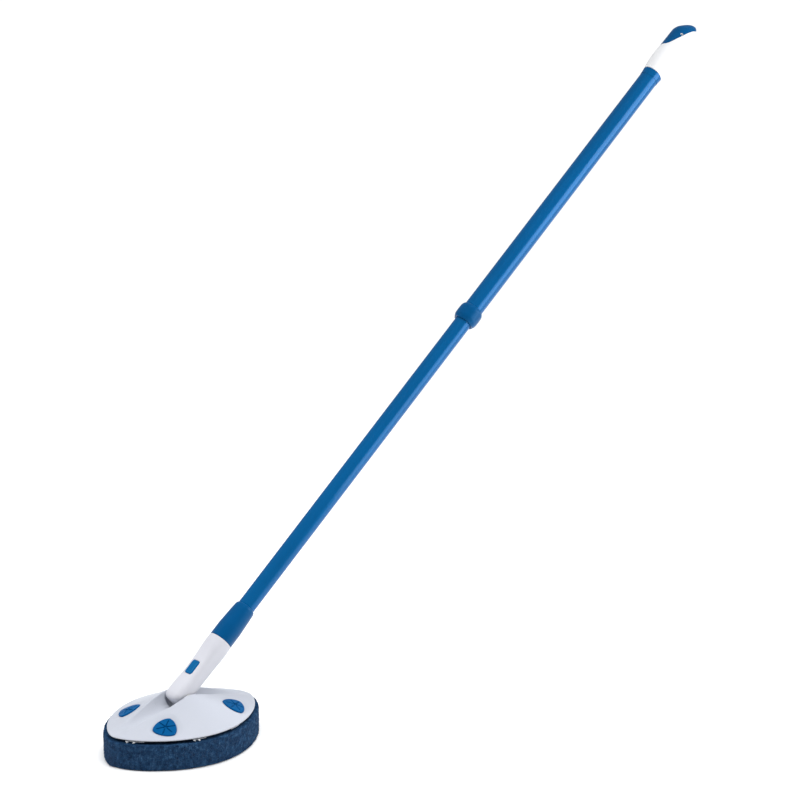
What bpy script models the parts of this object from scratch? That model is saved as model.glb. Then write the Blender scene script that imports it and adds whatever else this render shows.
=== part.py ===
"""Wall brush on a two-stage telescopic pole. Metres, +Z up, pad underside at z = 0.
The head's long axis is X, and the pole leans from the head toward +X in the X-Z plane."""

import math

import bmesh
import bpy
from mathutils import Matrix, Vector

# Head outline: distance from the centre to the tangent line, as a cosine series of the angle
OUTLINE_MEAN = 0.0868
OUTLINE_SECOND = 0.0138
OUTLINE_FOURTH = 0.0022
OUTLINE_STEPS = 64
PAD_OVERHANG = 0.0048
PAD_HEIGHT = 0.0322
PAD_CORNER = 0.0016

# Stack above the pad
HOOK_BOTTOM = 0.0325
HOOK_TOP = 0.0337
BASE_BOTTOM = 0.0340
BASE_TOP = 0.0355
BASE_INSET = 0.0026
RIM_BOTTOM = 0.0356
RIM_TOP = 0.0371
RECESS_INSET = 0.0022
RECESS_TOP = 0.0361

# Domed cover
DOME_RISE = 0.0378
DOME_POWER = 1.12
COVER_WALL = 0.0032
DOME_RINGS = 15
VALLEY_START = 0.013
VALLEY_END = 0.098
VALLEY_FLOOR = 0.0475
VALLEY_FALL = 0.102
VALLEY_HALF_WIDTH = 0.0172
VALLEY_TAPER_FROM = 0.030
VALLEY_TAPER = 0.20
VALLEY_POWER = 2.2
POCKET_HALF_X = 0.0136
POCKET_HALF_Y = 0.0154
POCKET_FLOOR = 0.0410
CHEEK_HALF_X = 0.0165
CHEEK_HALF_Y = 0.0240
CHEEK_BOTTOM = 0.0385

# Star grippers
GRIPPER_X = 0.0522
GRIPPER_Y = 0.0366
GRIPPER_RADIUS = 0.0142
GRIPPER_LOBE = 0.0014
GRIPPER_STEPS = 21
SEAT_DEPTH = 0.0016
HOUSING_DEPTH = 0.0040
SLIT_LENGTH = 0.0230
SLIT_WIDTH = 0.0009
BASE_OPENING_RADIUS = 0.0172

# Screws that hold the base plate
SCREW_X = 0.022
SCREW_Y = 0.045
SCREW_RADIUS = 0.0013
SCREW_HEAD_RADIUS = 0.0030
SCREW_TIP = 0.0450
POST_RADIUS = 0.0045

# Hook strips: centre x, half width, half length
HOOK_STRIPS = (
    ("hook_strip_left", -0.0880, 0.0060, 0.0235),
    ("hook_strip_inner_left", -0.0270, 0.0080, 0.0690),
    ("hook_strip_inner_right", 0.0270, 0.0080, 0.0690),
    ("hook_strip_right", 0.0880, 0.0060, 0.0235),
)

STRIP_INSET = 0.0022

# Tilt joint
PIVOT_HEIGHT = 0.0595
PIN_RADIUS = 0.0021
PIN_HALF_LENGTH = 0.0202
PIN_GAP = 0.0003
SLOT_HALF_Y = 0.0205
WASHER_INNER = 0.0140
WASHER_OUTER = 0.0151
WASHER_RADIUS = 0.0060

# Pole line: it leans by LEAN from the vertical and crosses the head's centre at AXIS_HEIGHT
LEAN = math.radians(50.75)
AXIS_HEIGHT = 0.0646
AXIS_OFFSET = (AXIS_HEIGHT - PIVOT_HEIGHT) * math.sin(LEAN)
AXIS_ADVANCE = (AXIS_HEIGHT - PIVOT_HEIGHT) * math.cos(LEAN)

# Neck: distance along the pole, shift away from the button, half depth, half width, corner radius
NECK_END = 0.0787
NECK_SECTIONS = (
    (-0.0156, 0.0004, 0.0060, 0.0072, 0.0050),
    (-0.0150, 0.0004, 0.0082, 0.0094, 0.0064),
    (-0.0136, 0.0004, 0.0101, 0.0113, 0.0076),
    (-0.0110, 0.0004, 0.0115, 0.0127, 0.0084),
    (-0.0072, 0.0005, 0.0123, 0.0134, 0.0089),
    (-0.0020, 0.0006, 0.0125, 0.0136, 0.0090),
    (0.0060, 0.0008, 0.0123, 0.0136, 0.0091),
    (0.0140, 0.0012, 0.0119, 0.0136, 0.0094),
    (0.0220, 0.0015, 0.0116, 0.0135, 0.0098),
    (0.0420, 0.0015, 0.0117, 0.0136, 0.0100),
    (0.0540, 0.0012, 0.0124, 0.0141, 0.0110),
    (0.0640, 0.0007, 0.0135, 0.0146, 0.0128),
    (0.0720, 0.0002, 0.0145, 0.0149, 0.0142),
    (NECK_END, 0.0, 0.0150, 0.0150, 0.0149),
)
SOCKET_RADIUS = 0.0081
SOCKET_FLOOR = 0.0165

# Release button
BUTTON_CENTRE = 0.0310
BUTTON_HALF_WIDTH = 0.0060
BUTTON_HALF_LENGTH = 0.0102
BUTTON_CORNER = 0.0028
BUTTON_TOP = 0.0110
BUTTON_CAP_BOTTOM = 0.0082
BUTTON_TRAVEL = 0.0024
STEM_HALF_WIDTH = 0.0034
STEM_HALF_LENGTH = 0.0062
STEM_BOTTOM = 0.0025
FLANGE_BOTTOM = 0.0014
FLANGE_GROW = 0.0007
SPRING_RADIUS = 0.0024
SPRING_WIRE = 0.00045
SPRING_TURNS = 5

# Cuff and its spigot
SPIGOT_TIP = 0.0175
SPIGOT_RADIUS = 0.0078
SPIGOT_BORE = 0.0050
CUFF_START = 0.0790
CUFF_RADIUS = 0.0151
CUFF_TOP_RADIUS = 0.0133
CUFF_END = 0.1305
TUBE_SEAT = 0.0920

# Tubes
INNER_RADIUS = 0.0110
INNER_BORE = 0.0100
INNER_START = 0.0925
INNER_END = 0.6640
OUTER_RADIUS = 0.0125
OUTER_BORE = 0.0116
OUTER_START = 0.6030
OUTER_END = 1.0358
FIT_GAP = 0.0003
TUBE_STEPS = 40

# Twist lock at the inner tube's end
PLUG_START = 0.6400
PLUG_FLANGE_END = 0.6680
STUD_RADIUS = 0.0045
STUD_END = 0.7010
THREAD_DEPTH = 0.0007
THREAD_PITCH = 0.0040
COLLET_START = 0.6685
COLLET_END = 0.6945
COLLET_RADIUS = 0.0113
COLLET_BORE = 0.0055
COLLET_SLIT = 0.0022
LOCK_CAP_START = 0.6950
LOCK_CAP_END = 0.6990

# Lock collar and wiper
COLLAR_START = 0.5948
COLLAR_END = 0.6173
COLLAR_RADIUS = 0.0160
COLLAR_LIP = 0.5966
WIPER_END = 0.6026

# Grip
FERRULE_START = 1.0265
FERRULE_RADIUS = 0.0131
GRIP_START = 1.0362
GRIP_TURN = math.radians(139)
GRIP_PLUG_START = 1.0080
GRIP_PLUG_RADIUS = 0.0112
GRIP_BORE_RADIUS = 0.0078
GRIP_BORE_END = 1.0800
# Distance past GRIP_START, half width on the belly side, half width on the other side
GRIP_PROFILE = (
    (0.0000, 0.0127, 0.0127),
    (0.0060, 0.0138, 0.0130),
    (0.0140, 0.0150, 0.0133),
    (0.0250, 0.0158, 0.0136),
    (0.0330, 0.0157, 0.0138),
    (0.0420, 0.0152, 0.0139),
    (0.0520, 0.0147, 0.0140),
    (0.0620, 0.0143, 0.0141),
    (0.0700, 0.0136, 0.0141),
    (0.0760, 0.0122, 0.0140),
    (0.0815, 0.0098, 0.0137),
    (0.0860, 0.0066, 0.0131),
    (0.0895, 0.0028, 0.0119),
    (0.0915, -0.0012, 0.0103),
    (0.0925, -0.0045, 0.0082),
)
SEAM_NEAR = 0.0433
SEAM_FAR = 0.0920
SEAM_NEAR_SIDE = 0.0148
SEAM_FAR_SIDE = -0.0141
SEAM_GAP = 0.00015
TONGUE_CENTRE = -0.0010
TONGUE_HALF_DEPTH = 0.0070
TONGUE_HALF_WIDTH = 0.0050
TONGUE_START = 0.0540
TONGUE_END = 0.0820
HANG_HOLE_ALONG = 0.0665
HANG_HOLE_SIDE = 0.0010
HANG_HOLE_RADIUS = 0.0031

WHITE = ("white_plastic", (0.80, 0.81, 0.83), 0.38, 0.0)
BLUE_PLASTIC = ("blue_plastic", (0.002, 0.095, 0.320), 0.35, 0.0)
BLUE_TUBE = ("blue_painted_tube", (0.002, 0.105, 0.370), 0.28, 0.0)
BLUE_RUBBER = ("blue_rubber", (0.003, 0.090, 0.330), 0.62, 0.0)
NAVY_PAD = ("navy_abrasive", (0.012, 0.040, 0.120), 0.95, 0.0)
DARK_PLASTIC = ("dark_plastic", (0.010, 0.016, 0.035), 0.55, 0.0)
HOOK_TAPE = ("hook_tape", (0.62, 0.64, 0.68), 0.85, 0.0)
STEEL = ("bright_steel", (0.55, 0.56, 0.57), 0.25, 1.0)
ACETAL = ("acetal", (0.62, 0.62, 0.60), 0.45, 0.0)


# ---------------------------------------------------------------- materials, objects, Booleans

def material(spec):
    name, colour, roughness, metallic = spec
    found = bpy.data.materials.get(name)
    if found:
        return found
    made = bpy.data.materials.new(name)
    made.use_nodes = True
    shader = made.node_tree.nodes["Principled BSDF"]
    shader.inputs["Base Color"].default_value = (*colour, 1.0)
    shader.inputs["Roughness"].default_value = roughness
    shader.inputs["Metallic"].default_value = metallic
    made.diffuse_color = (*colour, 1.0)
    return made


def new_object(name, points, faces, look=None):
    mesh = bpy.data.meshes.new(name)
    mesh.from_pydata([tuple(p) for p in points], [], [tuple(f) for f in faces])
    mesh.validate()
    shape = bmesh.new()
    shape.from_mesh(mesh)
    bmesh.ops.recalc_face_normals(shape, faces=shape.faces)
    shape.to_mesh(mesh)
    shape.free()
    made = bpy.data.objects.new(name, mesh)
    bpy.context.scene.collection.objects.link(made)
    if look:
        mesh.materials.append(material(look))
        mesh.shade_smooth()
        mesh.set_sharp_from_angle(angle=math.radians(32))
    else:
        made.hide_render = True
        made.display_type = "WIRE"
    return made


def place(made, frame):
    made.matrix_local = frame
    return made


def boolean(target, cutter, operation="DIFFERENCE"):
    step = target.modifiers.new(f"{operation.lower()}_{len(target.modifiers)}", "BOOLEAN")
    step.operation = operation
    step.solver = "EXACT"
    step.object = cutter
    return step


# ---------------------------------------------------------------- shapes from rings

def rings_solid(rings):
    """Points and faces of a closed skin through equal rings, with a flat cap on each end."""
    count = len(rings[0])
    points = [p for ring in rings for p in ring]
    faces = []
    for k in range(len(rings) - 1):
        for i in range(count):
            j = (i + 1) % count
            a, b = k * count, (k + 1) * count
            faces.append((a + i, a + j, b + j, b + i))
    faces.append(tuple(range(count)))
    faces.append(tuple((len(rings) - 1) * count + i for i in range(count)))
    return points, faces


def lathe_solid(profile, steps=TUBE_STEPS, closed=False):
    """Profile points are (radius, z). A closed profile makes a tube; an open one is capped."""
    rings = []
    for radius, z in profile:
        turn = [2 * math.pi * i / steps for i in range(steps)]
        rings.append([(radius * math.cos(a), radius * math.sin(a), z) for a in turn])
    points, faces = rings_solid(rings)
    if closed:
        faces = faces[:-2]
        last = (len(rings) - 1) * steps
        for i in range(steps):
            j = (i + 1) % steps
            faces.append((last + i, last + j, j, i))
    return points, faces


def box_solid(low, high):
    (x0, y0, z0), (x1, y1, z1) = low, high
    bottom = [(x0, y0, z0), (x1, y0, z0), (x1, y1, z0), (x0, y1, z0)]
    top = [(x, y, z1) for x, y, _ in bottom]
    return rings_solid([bottom, top])


def rounded_rectangle(half_x, half_y, radius, z, corner_steps=6):
    ring = []
    corners = ((1, 1, 0), (-1, 1, 90), (-1, -1, 180), (1, -1, 270))
    for sx, sy, start in corners:
        cx, cy = sx * (half_x - radius), sy * (half_y - radius)
        for k in range(corner_steps + 1):
            a = math.radians(start + 90 * k / corner_steps)
            ring.append((cx + radius * math.cos(a), cy + radius * math.sin(a), z))
    return ring


# ---------------------------------------------------------------- head outline and dome

def tangent_distance(angle):
    return OUTLINE_MEAN + OUTLINE_SECOND * math.cos(2 * angle) + OUTLINE_FOURTH * math.cos(4 * angle)


def outline_ring(offset, z, scale=1.0):
    ring = []
    for i in range(OUTLINE_STEPS):
        a = 2 * math.pi * i / OUTLINE_STEPS
        h = tangent_distance(a) + offset
        slope = -2 * OUTLINE_SECOND * math.sin(2 * a) - 4 * OUTLINE_FOURTH * math.sin(4 * a)
        x = h * math.cos(a) - slope * math.sin(a)
        y = h * math.sin(a) + slope * math.cos(a)
        ring.append((x * scale, y * scale, z))
    return ring


def outline_fraction(x, y):
    """1 on the outline and 0 at the centre, in proportion between."""
    turn = (2 * math.pi * i / 360 for i in range(360))
    return max((x * math.cos(a) + y * math.sin(a)) / tangent_distance(a) for a in turn)


def dome_height(fraction):
    return RIM_TOP + DOME_RISE * max(0.0, 1 - fraction) ** DOME_POWER


def dome_frame(x, y):
    """Frame on the dome with z along its normal and x up the slope toward the centre."""
    step = 0.0005
    here = dome_height(outline_fraction(x, y))
    slope_x = (dome_height(outline_fraction(x + step, y)) - here) / step
    slope_y = (dome_height(outline_fraction(x, y + step)) - here) / step
    normal = Vector((-slope_x, -slope_y, 1)).normalized()
    inward = Vector((-x, -y, 0)).normalized()
    inward = (inward - normal * inward.dot(normal)).normalized()
    side = normal.cross(inward)
    turn = Matrix((inward, side, normal)).transposed().to_4x4()
    return Matrix.Translation((x, y, here)) @ turn


def valley_half_width(x):
    return VALLEY_HALF_WIDTH - VALLEY_TAPER * max(0.0, abs(x) - VALLEY_TAPER_FROM)


def valley_solid(side, depth, widen):
    """A groove along X that runs from the pocket to the end of the head."""
    rings = []
    for k in range(12):
        x = VALLEY_START - 0.004 + (VALLEY_END - VALLEY_START + 0.004) * k / 11
        half = valley_half_width(x) + widen
        floor = max(VALLEY_FLOOR - VALLEY_FALL * (x - VALLEY_START) - depth, RECESS_TOP)
        crest = max(dome_height(outline_fraction(x, half)) - depth, floor + 0.0005)
        ring = []
        for i in range(17):
            f = -1 + 2 * i / 16
            ring.append((side * x, half * f, floor + (crest - floor) * abs(f) ** VALLEY_POWER))
        ring.append((side * x, half + 0.003, crest + 0.030))
        ring.append((side * x, -half - 0.003, crest + 0.030))
        rings.append(ring)
    return rings_solid(rings)


def gripper_ring(offset, z):
    ring = []
    radius = GRIPPER_RADIUS + offset
    lobe = GRIPPER_LOBE * radius / GRIPPER_RADIUS
    for i in range(GRIPPER_STEPS):
        a = 2 * math.pi * i / GRIPPER_STEPS
        h = radius + lobe * math.cos(3 * a)
        slope = -3 * lobe * math.sin(3 * a)
        x = h * math.cos(a) - slope * math.sin(a)
        y = h * math.sin(a) + slope * math.cos(a)
        ring.append((x, y, z))
    return ring


# ---------------------------------------------------------------- head pieces

def gripper_places():
    names = {(-1, 1): "rear_left", (-1, -1): "front_left", (1, -1): "front_right", (1, 1): "rear_right"}
    for (sx, sy), name in names.items():
        yield name, dome_frame(sx * GRIPPER_X, sy * GRIPPER_Y)


def cover_cavity():
    rings = [outline_ring(-RECESS_INSET, BASE_BOTTOM - 0.006)]
    for k in range(12):
        scale = 1 - 0.97 * (k / 11) ** 1.1
        z = max(dome_height(scale) - COVER_WALL, RECESS_TOP)
        rings.append(outline_ring(-RECESS_INSET, z, scale))
    cavity = new_object("cover_cavity", *rings_solid(rings))
    for side in (-1, 1):
        keep = new_object(f"valley_wall_{side}", *valley_solid(side, COVER_WALL, 0.0036))
        boolean(cavity, keep)
    cheeks = box_solid((-CHEEK_HALF_X, -CHEEK_HALF_Y, CHEEK_BOTTOM), (CHEEK_HALF_X, CHEEK_HALF_Y, 0.1))
    boolean(cavity, new_object("cheek_wall", *cheeks))
    for name, frame in gripper_places():
        rings = [gripper_ring(0.0020, -HOUSING_DEPTH), gripper_ring(0.0020, 0.012)]
        boolean(cavity, place(new_object(f"housing_{name}", *rings_solid(rings)), frame))
    for name, x, y in screw_places():
        post = lathe_solid([(POST_RADIUS, RECESS_TOP), (POST_RADIUS, 0.060)], 24)
        boolean(cavity, place(new_object(f"post_{name}", *post), Matrix.Translation((x, y, 0))))
    return cavity


def screw_places():
    for sx in (-1, 1):
        for sy in (-1, 1):
            name = ("rear" if sy > 0 else "front") + ("_right" if sx > 0 else "_left")
            yield name, sx * SCREW_X, sy * SCREW_Y


def pin_slots(cover):
    """Slots in both cheeks, open below, so that the pin goes in before the base plate."""
    half = PIN_RADIUS + PIN_GAP
    for side in (-1, 1):
        near, far = sorted((side * (POCKET_HALF_Y - 0.001), side * SLOT_HALF_Y))
        ring = [(half, near, BASE_BOTTOM), (-half, near, BASE_BOTTOM)]
        for k in range(13):
            a = math.pi - math.pi * k / 12
            ring.append((half * math.cos(a), near, PIVOT_HEIGHT + half * math.sin(a)))
        other = [(x, far, z) for x, _, z in ring]
        boolean(cover, new_object(f"pin_slot_{side}", *rings_solid([ring, other])))


def head_cover():
    rings = [outline_ring(0, RIM_BOTTOM)]
    for k in range(DOME_RINGS):
        scale = 1 - 0.93 * k / (DOME_RINGS - 1)
        rings.append(outline_ring(0, dome_height(scale), scale))
    cover = new_object("head_cover", *rings_solid(rings), WHITE)
    boolean(cover, cover_cavity())
    for side in (-1, 1):
        boolean(cover, new_object(f"valley_{side}", *valley_solid(side, 0.0, 0.0)))
    ring = rounded_rectangle(POCKET_HALF_X, POCKET_HALF_Y, 0.002, POCKET_FLOOR, 4)
    pocket = rings_solid([ring, [(x, y, 0.1) for x, y, _ in ring]])
    boolean(cover, new_object("pocket", *pocket))
    pin_slots(cover)
    for name, frame in gripper_places():
        opening = [gripper_ring(-0.0028, -0.012), gripper_ring(-0.0028, 0.006)]
        boolean(cover, place(new_object(f"opening_{name}", *rings_solid(opening)), frame))
        dish = [
            gripper_ring(0.0008, -SEAT_DEPTH),
            gripper_ring(0.0012, -SEAT_DEPTH * 0.7),
            gripper_ring(0.0062, 0.0002),
            gripper_ring(0.0066, 0.0080),
        ]
        boolean(cover, place(new_object(f"dish_{name}", *rings_solid(dish)), frame))
    for name, x, y in screw_places():
        hole = lathe_solid([(SCREW_RADIUS + FIT_GAP, BASE_BOTTOM), (SCREW_RADIUS + FIT_GAP, SCREW_TIP + 0.0006)], 20)
        boolean(cover, place(new_object(f"pilot_{name}", *hole), Matrix.Translation((x, y, 0))))
    return cover


def star_gripper(name, frame):
    """Rubber plate with six slits, a neck through the cover and a flange under it."""
    profile = [
        (-0.0080, -0.0008),
        (-0.0052, -0.0012),
        (-0.0052, -HOUSING_DEPTH - 0.0015),
        (-0.0018, -HOUSING_DEPTH - 0.0015),
        (-0.0018, -HOUSING_DEPTH - 0.0003),
        (-0.0032, -HOUSING_DEPTH - 0.0003),
        (-0.0032, -SEAT_DEPTH + 0.0003),
        (0.0000, -SEAT_DEPTH + 0.0003),
        (0.0000, -0.0004),
        (-0.0006, 0.0003),
        (-0.0032, 0.0009),
    ]
    gripper = new_object(f"star_gripper_{name}", *rings_solid([gripper_ring(*p) for p in profile]), BLUE_RUBBER)
    place(gripper, frame)
    for k in range(3):
        slit = box_solid((-SLIT_LENGTH / 2, -SLIT_WIDTH / 2, -0.004), (SLIT_LENGTH / 2, SLIT_WIDTH / 2, 0.006))
        cutter = new_object(f"slit_{name}_{k}", *slit)
        boolean(gripper, place(cutter, frame @ Matrix.Rotation(math.pi * k / 3, 4, "Z")))
    return gripper


def base_plate():
    rings = [outline_ring(-BASE_INSET, BASE_BOTTOM), outline_ring(-BASE_INSET, BASE_TOP)]
    plate = new_object("base_plate", *rings_solid(rings), DARK_PLASTIC)
    for sx in (-1, 1):
        for sy in (-1, 1):
            hole = lathe_solid([(BASE_OPENING_RADIUS, 0.030), (BASE_OPENING_RADIUS, 0.040)], 32)
            cutter = new_object(f"base_opening_{sx}_{sy}", *hole)
            boolean(plate, place(cutter, Matrix.Translation((sx * GRIPPER_X, sy * GRIPPER_Y, 0))))
    for name, x, y in screw_places():
        head, shank = SCREW_HEAD_RADIUS + FIT_GAP, SCREW_RADIUS + FIT_GAP
        sink = [(head, 0.030), (head, BASE_BOTTOM + 0.0004), (shank, BASE_BOTTOM + 0.0014), (shank, 0.040)]
        cutter = new_object(f"sink_{name}", *lathe_solid(sink, 24))
        boolean(plate, place(cutter, Matrix.Translation((x, y, 0))))
    return plate


def cover_screw(name, x, y):
    """Countersunk screw with a cross recess."""
    profile = [
        (SCREW_HEAD_RADIUS, BASE_BOTTOM + 0.0001),
        (SCREW_HEAD_RADIUS, BASE_BOTTOM + 0.0004),
        (SCREW_RADIUS, BASE_BOTTOM + 0.0016),
        (SCREW_RADIUS, SCREW_TIP - 0.0015),
        (SCREW_RADIUS * 0.2, SCREW_TIP),
    ]
    screw = new_object(f"cover_screw_{name}", *lathe_solid(profile, 20), STEEL)
    place(screw, Matrix.Translation((x, y, 0)))
    for k in range(2):
        recess = box_solid((-0.0017, -0.0003, BASE_BOTTOM - 0.001), (0.0017, 0.0003, BASE_BOTTOM + 0.0010))
        cutter = new_object(f"recess_{name}_{k}", *recess)
        turn = Matrix.Rotation(math.pi / 2 * k, 4, "Z")
        boolean(screw, place(cutter, Matrix.Translation((x, y, 0)) @ turn))
    return screw


def hook_strip(name, centre, half_width, half_length):
    low = (centre - half_width, -half_length, HOOK_BOTTOM)
    high = (centre + half_width, half_length, HOOK_TOP)
    strip = new_object(name, *box_solid(low, high), HOOK_TAPE)
    trim = rings_solid([outline_ring(-STRIP_INSET, 0.030), outline_ring(-STRIP_INSET, 0.040)])
    boolean(strip, new_object(f"{name}_trim", *trim), "INTERSECT")
    return strip


def scrub_pad():
    rings = []
    for k in range(4):
        a = math.pi / 2 * k / 3
        inset = PAD_CORNER * (1 - math.sin(a))
        rings.append(outline_ring(PAD_OVERHANG - inset, PAD_CORNER * (1 - math.cos(a))))
    for k in range(4):
        a = math.pi / 2 * k / 3
        inset = PAD_CORNER * (1 - math.cos(a))
        rings.append(outline_ring(PAD_OVERHANG - inset, PAD_HEIGHT - PAD_CORNER * (1 - math.sin(a))))
    return new_object("scrub_pad", *rings_solid(rings), NAVY_PAD)


def cross_cylinder(radius, half_length, steps=28):
    """Points and faces of a cylinder along Y with chamfered ends."""
    chamfer = min(0.0004, radius / 4)
    profile = [
        (radius - chamfer, -half_length),
        (radius, -half_length + chamfer),
        (radius, half_length - chamfer),
        (radius - chamfer, half_length),
    ]
    points, faces = lathe_solid(profile, steps)
    return [(x, z, -y) for x, y, z in points], faces


def pivot_pin():
    pin = new_object("pivot_pin", *cross_cylinder(PIN_RADIUS, PIN_HALF_LENGTH), STEEL)
    return place(pin, Matrix.Translation((0, 0, PIVOT_HEIGHT)))


def pin_washer(name, side):
    inner = PIN_RADIUS + FIT_GAP
    profile = [(inner, WASHER_INNER), (WASHER_RADIUS, WASHER_INNER), (WASHER_RADIUS, WASHER_OUTER), (inner, WASHER_OUTER)]
    points, faces = lathe_solid(profile, 32, closed=True)
    points = [(x, side * z, -y) for x, y, z in points]
    return place(new_object(name, points, faces, ACETAL), Matrix.Translation((0, 0, PIVOT_HEIGHT)))


def pivot_saddle(name, side):
    """Block that fills the slot below the pin."""
    near, far = sorted((side * (POCKET_HALF_Y + 0.0004), side * (SLOT_HALF_Y - 0.0003)))
    top, cup = PIVOT_HEIGHT - 0.0006, PIN_RADIUS + PIN_GAP
    ring = [(-PIN_RADIUS, near, RECESS_TOP), (PIN_RADIUS, near, RECESS_TOP)]
    lip = math.asin((PIVOT_HEIGHT - top) / cup)
    span = math.pi - 2 * math.radians(28)
    for k in range(9):
        a = -math.radians(28) - span * k / 8
        ring.append((cup * math.cos(a), near, PIVOT_HEIGHT + cup * math.sin(a)))
    assert lip < math.radians(28)
    other = [(x, far, z) for x, _, z in ring]
    return new_object(name, *rings_solid([ring, other]), WHITE)


# ---------------------------------------------------------------- neck and button

def neck_frame():
    return Matrix.Translation((0, 0, PIVOT_HEIGHT)) @ Matrix.Rotation(LEAN, 4, "Y")


def neck():
    """Arm whose origin is the tilt pivot, with its length along its own z."""
    rings = []
    for along, shift, depth, width, corner in NECK_SECTIONS:
        ring = rounded_rectangle(depth, width, corner, along + AXIS_ADVANCE, 7)
        rings.append([(x + shift - AXIS_OFFSET, y, z) for x, y, z in ring])
    made = place(new_object("neck", *rings_solid(rings), WHITE), neck_frame())
    bore = new_object("pin_bore", *cross_cylinder(PIN_RADIUS + PIN_GAP, 0.030))
    boolean(made, place(bore, neck_frame()))
    low, high = SOCKET_FLOOR, NECK_END
    profile = [
        (SOCKET_RADIUS, low),
        (SOCKET_RADIUS, high - 0.0008),
        (SOCKET_RADIUS + 0.0008, high),
        (SOCKET_RADIUS + 0.0008, high + 0.01),
    ]
    boolean(made, place(new_object("neck_socket", *lathe_solid(profile)), pole_frame()))
    window = button_prism(0.0004, BUTTON_CAP_BOTTOM - BUTTON_TRAVEL, 0.0200)
    boolean(made, place(new_object("neck_window", *window), button_frame()))
    return made


def pole_frame(along=0.0):
    axis = Matrix.Translation((0, 0, AXIS_HEIGHT)) @ Matrix.Rotation(LEAN, 4, "Y")
    return axis @ Matrix.Translation((0, 0, along))


def button_frame():
    """On the pole's axis under the button, with z pointing out through it and x along the pole."""
    turn = Matrix(((0, 0, -1), (0, 1, 0), (1, 0, 0))).to_4x4()
    return pole_frame(BUTTON_CENTRE) @ turn


def button_prism(gap, low, high):
    ring = rounded_rectangle(BUTTON_HALF_LENGTH + gap, BUTTON_HALF_WIDTH + gap, BUTTON_CORNER + gap, low)
    return rings_solid([ring, [(x, y, high) for x, y, _ in ring]])


def stem_prism(gap, low, high):
    ring = rounded_rectangle(STEM_HALF_LENGTH + gap, STEM_HALF_WIDTH + gap, 0.0012, low, 4)
    return rings_solid([ring, [(x, y, high) for x, y, _ in ring]])


def release_button():
    """Cap with a bevelled top, and a stem whose flange is caught inside the spigot."""
    def ring(grow, z):
        length, width = BUTTON_HALF_LENGTH + grow, BUTTON_HALF_WIDTH + grow
        return rounded_rectangle(length, width, max(0.0012, BUTTON_CORNER + grow), z)

    def stem_ring(grow, z):
        return rounded_rectangle(STEM_HALF_LENGTH + grow, STEM_HALF_WIDTH + grow, 0.0012, z)

    rings = [
        stem_ring(FLANGE_GROW, FLANGE_BOTTOM),
        stem_ring(FLANGE_GROW, STEM_BOTTOM),
        stem_ring(0, STEM_BOTTOM),
        stem_ring(0, BUTTON_CAP_BOTTOM),
        ring(0, BUTTON_CAP_BOTTOM),
        ring(0, BUTTON_TOP - 0.0012),
        ring(-0.0005, BUTTON_TOP - 0.0005),
        ring(-0.0014, BUTTON_TOP - 0.0001),
        ring(-0.0030, BUTTON_TOP),
    ]
    return place(new_object("release_button", *rings_solid(rings), BLUE_PLASTIC), button_frame())


def button_spring():
    """Coil between the button's flange and the far wall of the spigot."""
    top = FLANGE_BOTTOM - FIT_GAP - SPRING_WIRE
    bottom = -(SPIGOT_BORE - 0.0010 - SPRING_WIRE)
    rings = []
    steps = SPRING_TURNS * 12
    for k in range(steps + 1):
        a = 2 * math.pi * SPRING_TURNS * k / steps
        outward = Vector((math.cos(a), math.sin(a), 0))
        centre = outward * SPRING_RADIUS + Vector((0, 0, bottom + (top - bottom) * k / steps))
        ring = []
        for i in range(6):
            b = 2 * math.pi * i / 6
            ring.append(centre + outward * SPRING_WIRE * math.cos(b) + Vector((0, 0, SPRING_WIRE * math.sin(b))))
        rings.append(ring)
    return place(new_object("button_spring", *rings_solid(rings), STEEL), button_frame())


# ---------------------------------------------------------------- pole pieces

def pole_piece(name, profile, look, steps=TUBE_STEPS, closed=True):
    """A turned piece on the pole's axis, from (radius, distance along the pole)."""
    start = min(z for _, z in profile)
    points, faces = lathe_solid([(r, z - start) for r, z in profile], steps, closed)
    return place(new_object(name, points, faces, look), pole_frame(start))


def pole_cuff():
    """Cuff over the inner tube, with the hollow spigot that plugs into the neck."""
    inner = INNER_RADIUS + FIT_GAP
    profile = [
        (SPIGOT_BORE, SPIGOT_TIP),
        (SPIGOT_RADIUS - 0.001, SPIGOT_TIP),
        (SPIGOT_RADIUS, SPIGOT_TIP + 0.001),
        (SPIGOT_RADIUS, CUFF_START),
        (CUFF_RADIUS - 0.0006, CUFF_START),
        (CUFF_RADIUS, CUFF_START + 0.0006),
        (CUFF_RADIUS, 0.0960),
        (CUFF_RADIUS - 0.0004, 0.1040),
        (CUFF_TOP_RADIUS + 0.0004, 0.1200),
        (CUFF_TOP_RADIUS, 0.1245),
        (CUFF_TOP_RADIUS - 0.0005, 0.1265),
        (CUFF_TOP_RADIUS - 0.0014, 0.1285),
        (inner + 0.0006, CUFF_END),
        (inner, CUFF_END),
        (inner, TUBE_SEAT),
        (SPIGOT_BORE, TUBE_SEAT),
    ]
    cuff = pole_piece("pole_cuff", profile, BLUE_PLASTIC, 40)
    window = button_prism(0.0004, BUTTON_CAP_BOTTOM - BUTTON_TRAVEL - FIT_GAP, 0.0200)
    boolean(cuff, place(new_object("spigot_window", *window), button_frame()))
    slot = stem_prism(FIT_GAP, 0.0, 0.0200)
    boolean(cuff, place(new_object("stem_slot", *slot), button_frame()))
    return cuff


def tube(name, radius, bore, start, end):
    edge = 0.0002
    profile = [
        (bore, start),
        (radius - edge, start),
        (radius, start + edge),
        (radius, end - edge),
        (radius - edge, end),
        (bore, end),
    ]
    return pole_piece(name, profile, BLUE_TUBE)


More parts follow.
